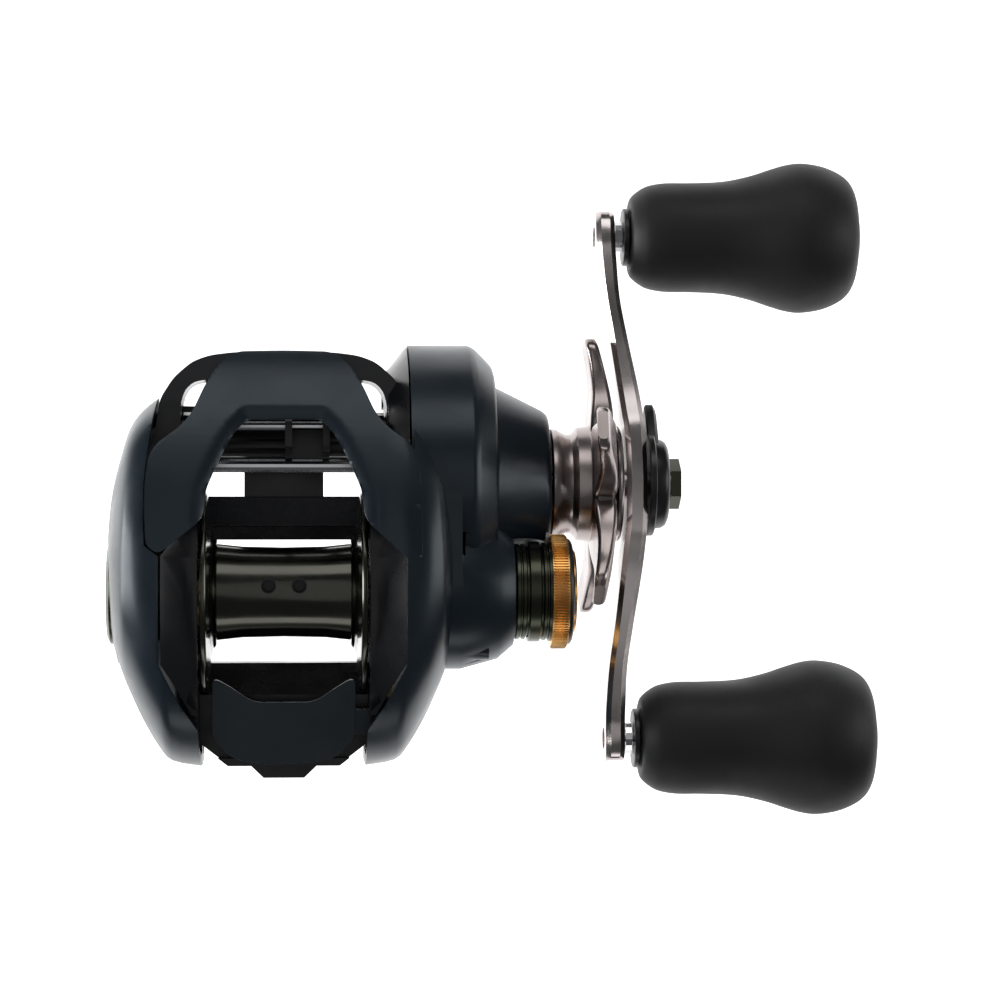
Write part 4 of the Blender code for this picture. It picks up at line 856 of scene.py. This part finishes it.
def knob_axes():
    return {name: (DRIVE_AXIS[0] + side * KNOB_RADIUS * math.cos(HANDLE_TILT),
                   DRIVE_AXIS[1] + side * KNOB_RADIUS * math.sin(HANDLE_TILT))
            for name, side in (("front", 1), ("rear", -1))}


def make_knobs():
    outside = [(61.2, 6.4), (61.5, 7.1), (62.6, 8.1), (64.4, 9.1), (67.5, 9.65), (72.0, 9.7), (77.9, 10.0),
               (82.7, 11.0), (86.4, 12.2), (89.2, 13.0), (91.9, 13.3), (95.4, 12.8), (98.2, 11.7),
               (100.0, 10.4), (101.0, 8.8), (101.4, 7.2)]
    inside = [(101.2, 6.3), (99.8, 6.3), (99.8, 4.4), (97.4, 4.4), (97.4, 1.8), (61.2, 1.8)]
    for name, axis in knob_axes().items():
        knob = turned(f"{name}_knob", axis, smooth_line(outside, 4) + inside, "grip_rubber", 32)
        show(knob, [f"{name}_knob"], angle=40)
        cap = turned(f"{name}_knob_cap", axis,
                     [(98.2, 0), (98.2, 3.9), (100.1, 3.9), (100.1, 6.0), (101.3, 6.0), (101.6, 5.7),
                      (101.9, 4.8), (102.2, 2.8), (102.3, 0)], "grip_rubber", 32)
        show(cap, [f"{name}_knob_cap"], angle=35)
        collar = turned(f"{name}_knob_collar", axis, [(60.0, 1.8), (60.0, 4.9), (60.15, 5.1), (60.75, 5.1),
                                                      (60.9, 4.9), (60.9, 1.8)], "black_plastic", 20)
        show(collar, [f"{name}_knob_collar"])


def make_retainer():
    cap = turned("retainer_cap", DRIVE_AXIS,
                 [(63.2, 2.8), (63.2, 8.9), (63.4, 9.1), (64.2, 9.1), (64.4, 8.9), (64.5, 7.9), (65.9, 7.7),
                  (66.5, 7.3), (66.85, 6.6), (67.0, 5.2), (67.0, 2.8)], None, 40)
    outline = [(14.2, 0.0), (12.5, 1.9), (8.0, 4.3), (4.0, 5.5), (4.0, -5.5), (8.0, -4.3), (12.5, -1.9)]
    sections = [tilted([(x, r * shrink, w * shrink) for r, w in outline])
                for x, shrink in ((63.2, 0.97), (63.5, 1.0), (64.7, 1.0), (65.2, 0.93))]
    whole = joined("handle_retainer", [cap, loft("retainer_tail", sections)], "black_plastic")
    show(whole, ["handle_retainer"])
    collar = turned("handle_collar", DRIVE_AXIS, [(57.4, 2.8), (57.4, 9.7), (57.6, 10.1), (57.9, 10.2),
                                                  (58.2, 10.1), (58.5, 9.7), (58.6, 9.3), (58.6, 2.8)],
                    "handle_metal", 40)
    show(collar, ["handle_collar"])


# ---- Cast control -----------------------------------------------------------------------------
KNURLS = 120
KNURL_DEPTH = 0.26


def knurled_ring(name, low, high, radius, bore, edge):
    """A ring with fine straight knurls, bevelled towards both faces."""
    rows = [(low, radius - edge, 0.0), (low + edge, radius, 1.0), (high - edge, radius, 1.0),
            (high, radius - edge, 0.0)]
    sections = []
    for x, r, share in [(low, bore, 0.0)] + rows + [(high, bore, 0.0)]:
        ring = []
        for i in range(KNURLS * 4):
            depth = KNURL_DEPTH * share * (1.0 if i % 4 in (0, 1) else 0.0)
            angle = 2 * math.pi * i / (KNURLS * 4)
            ring.append((x, SPOOL_AXIS[0] + (r - depth) * math.cos(angle),
                         SPOOL_AXIS[1] + (r - depth) * math.sin(angle)))
        sections.append(ring)
    return loft(name, sections)


def make_cast_control():
    body = turned("cast_body", SPOOL_AXIS,
                  [(39.3, 5.9), (39.3, 7.9), (39.5, 8.2), (40.0, 8.2), (40.15, 7.9), (40.35, 7.9),
                   (40.5, 8.2), (41.0, 8.2), (41.2, 7.6), (43.9, 7.6), (43.9, 8.2), (44.1, 8.4),
                   (44.5, 8.4), (44.65, 8.1), (44.85, 8.1), (45.0, 8.5), (45.5, 8.5), (45.5, 5.9)],
                  "olive_metal", 40)
    grip = knurled_ring("cast_grip", 45.4, 48.2, 9.8, 7.0, 0.3)
    face = turned("cast_face", SPOOL_AXIS, [(48.0, 0), (48.0, 9.1), (48.4, 9.15), (48.8, 8.9), (49.05, 8.5),
                                            (49.1, 7.7), (48.6, 7.5), (48.6, 0)], None, 40)
    gold = joined("cast_gold", [grip], "gold")
    black = joined("cast_black", [face], "black_plastic")
    for obj, slot in ((body, "olive_metal"), (gold, "gold"), (black, "black_plastic")):
        show(obj, ["cast_control_knob"], angle=25)
    ring = turned("cast_knob_ring", SPOOL_AXIS, [(41.5, 7.9), (41.5, 8.4), (41.7, 8.6), (43.4, 8.6),
                                                 (43.6, 8.4), (43.6, 7.9)], "olive_metal", 44)
    show(ring, ["cast_knob_ring"])
    rim = turned("cast_face_ring", SPOOL_AXIS, [(48.7, 4.6), (48.7, 7.3), (49.3, 7.3), (49.6, 7.0),
                                                (49.6, 4.9), (49.4, 4.6)], "gold", 40)
    show(rim, ["cast_face_ring"])


def make_deck_panel():
    """Leather-like grained panel that follows the front deck's slope, just above it."""
    outline = rounded([(-13.2, 11.2), (13.2, 11.2), (13.2, 16.1), (-13.2, 16.1)], 0.5, 3)
    panel = bent_plate("deck_panel", [outline], 0.3, 0.12,
                       lambda x, y: 10.3 + (y - 11.0) * 0.2075 + 0.14, 0.8, "deck_grain")
    show(panel, ["frame"])


# ---- CAD nodes that stay ----------------------------------------------------------------------
def dress_cad_nodes():
    """Gives the CAD nodes that stay their materials and softened edges."""
    for name, node in CAD["nodes"].items():
        if node.hide_render:
            continue
        node.data.materials.clear()
        node.data.materials.append(MATERIALS[NODE_SLOT[name]])
        edge = node.modifiers.new("Edges", "BEVEL")
        edge.width = 0.12 * MM
        edge.segments = 2
        edge.limit_method = "ANGLE"
        edge.angle_limit = math.radians(35)


# ---- Stage ------------------------------------------------------------------------------------
CAMERA_PLACE = (0.0, 15.68, 575.0)
CAMERA_TURN = math.radians(3.84)  # towards the handle
LENS = 115.9
FLOOR_HALF, FLOOR_HEIGHT = 900.0, -260.0
LIGHTS = [  # (name, place, target, size, power)
    ("overhead", (-60, 60, 640), (10, 0, 0), (500, 420), 0.22),
    ("left", (-520, 40, 70), (0, 0, 10), (200, 460), 2.8),
    ("right", (560, 80, 200), (40, 0, 10), (260, 420), 0.85),
    ("front", (20, 520, 330), (20, 0, 10), (560, 260), 0.72),
    ("rear", (20, -520, 160), (20, 0, 10), (520, 160), 0.4),
]


def area_light(name, place, target, size, power):
    light = bpy.data.lights.new(name, "AREA")
    light.shape = "RECTANGLE"
    light.size, light.size_y = size[0] * MM, size[1] * MM
    light.energy = power
    obj = bpy.data.objects.new(name, light)
    bpy.context.scene.collection.objects.link(obj)
    obj.location = Vector(place) * MM
    direction = (Vector(target) - Vector(place)).normalized()
    obj.rotation_mode = "QUATERNION"
    obj.rotation_quaternion = direction.to_track_quat("-Z", "Y")


def make_camera():
    camera = bpy.data.objects.new("camera", bpy.data.cameras.new("camera"))
    bpy.context.scene.collection.objects.link(camera)
    camera.location = Vector(CAMERA_PLACE) * MM
    camera.rotation_euler = (0.0, -CAMERA_TURN, 0.0)
    camera.data.lens = LENS
    camera.data.sensor_width = 36.0
    camera.data.clip_start = 0.01
    bpy.context.scene.camera = camera


def make_floor():
    floor_mesh = bpy.data.meshes.new("floor")
    floor_mesh.from_pydata([(x * FLOOR_HALF * MM, y * FLOOR_HALF * MM, FLOOR_HEIGHT * MM)
                            for x, y in ((-1, -1), (1, -1), (1, 1), (-1, 1))], [], [(0, 1, 2, 3)])
    floor = bpy.data.objects.new("floor", floor_mesh)
    bpy.context.scene.collection.objects.link(floor)
    paper = bpy.data.materials.new("floor_paper")
    paper.use_nodes = True
    shader = paper.node_tree.nodes["Principled BSDF"]
    shader.inputs["Base Color"].default_value = (0.9, 0.9, 0.9, 1)
    shader.inputs["Roughness"].default_value = 1.0
    shader.inputs["Emission Color"].default_value = (1, 1, 1, 1)
    shader.inputs["Emission Strength"].default_value = 1.0
    floor_mesh.materials.append(paper)


def make_stage():
    make_camera()
    make_floor()
    world = bpy.data.worlds.new("studio")
    bpy.context.scene.world = world
    world.use_nodes = True
    background = world.node_tree.nodes["Background"]
    background.inputs["Color"].default_value = (0.95, 0.98, 1.0, 1)
    background.inputs["Strength"].default_value = 0.085
    for light in LIGHTS:
        area_light(*light)
    bpy.context.scene.view_settings.view_transform = "Standard"


def main():
    make_frame()
    make_deck_panel()
    make_palm_side()
    make_top_cover()
    make_hood()
    make_gear_cover()
    make_thumb_bar()
    make_spool()
    make_star()
    make_arm()
    make_knobs()
    make_retainer()
    make_cast_control()
    clear_helpers()
    dress_cad_nodes()
    make_stage()


main()
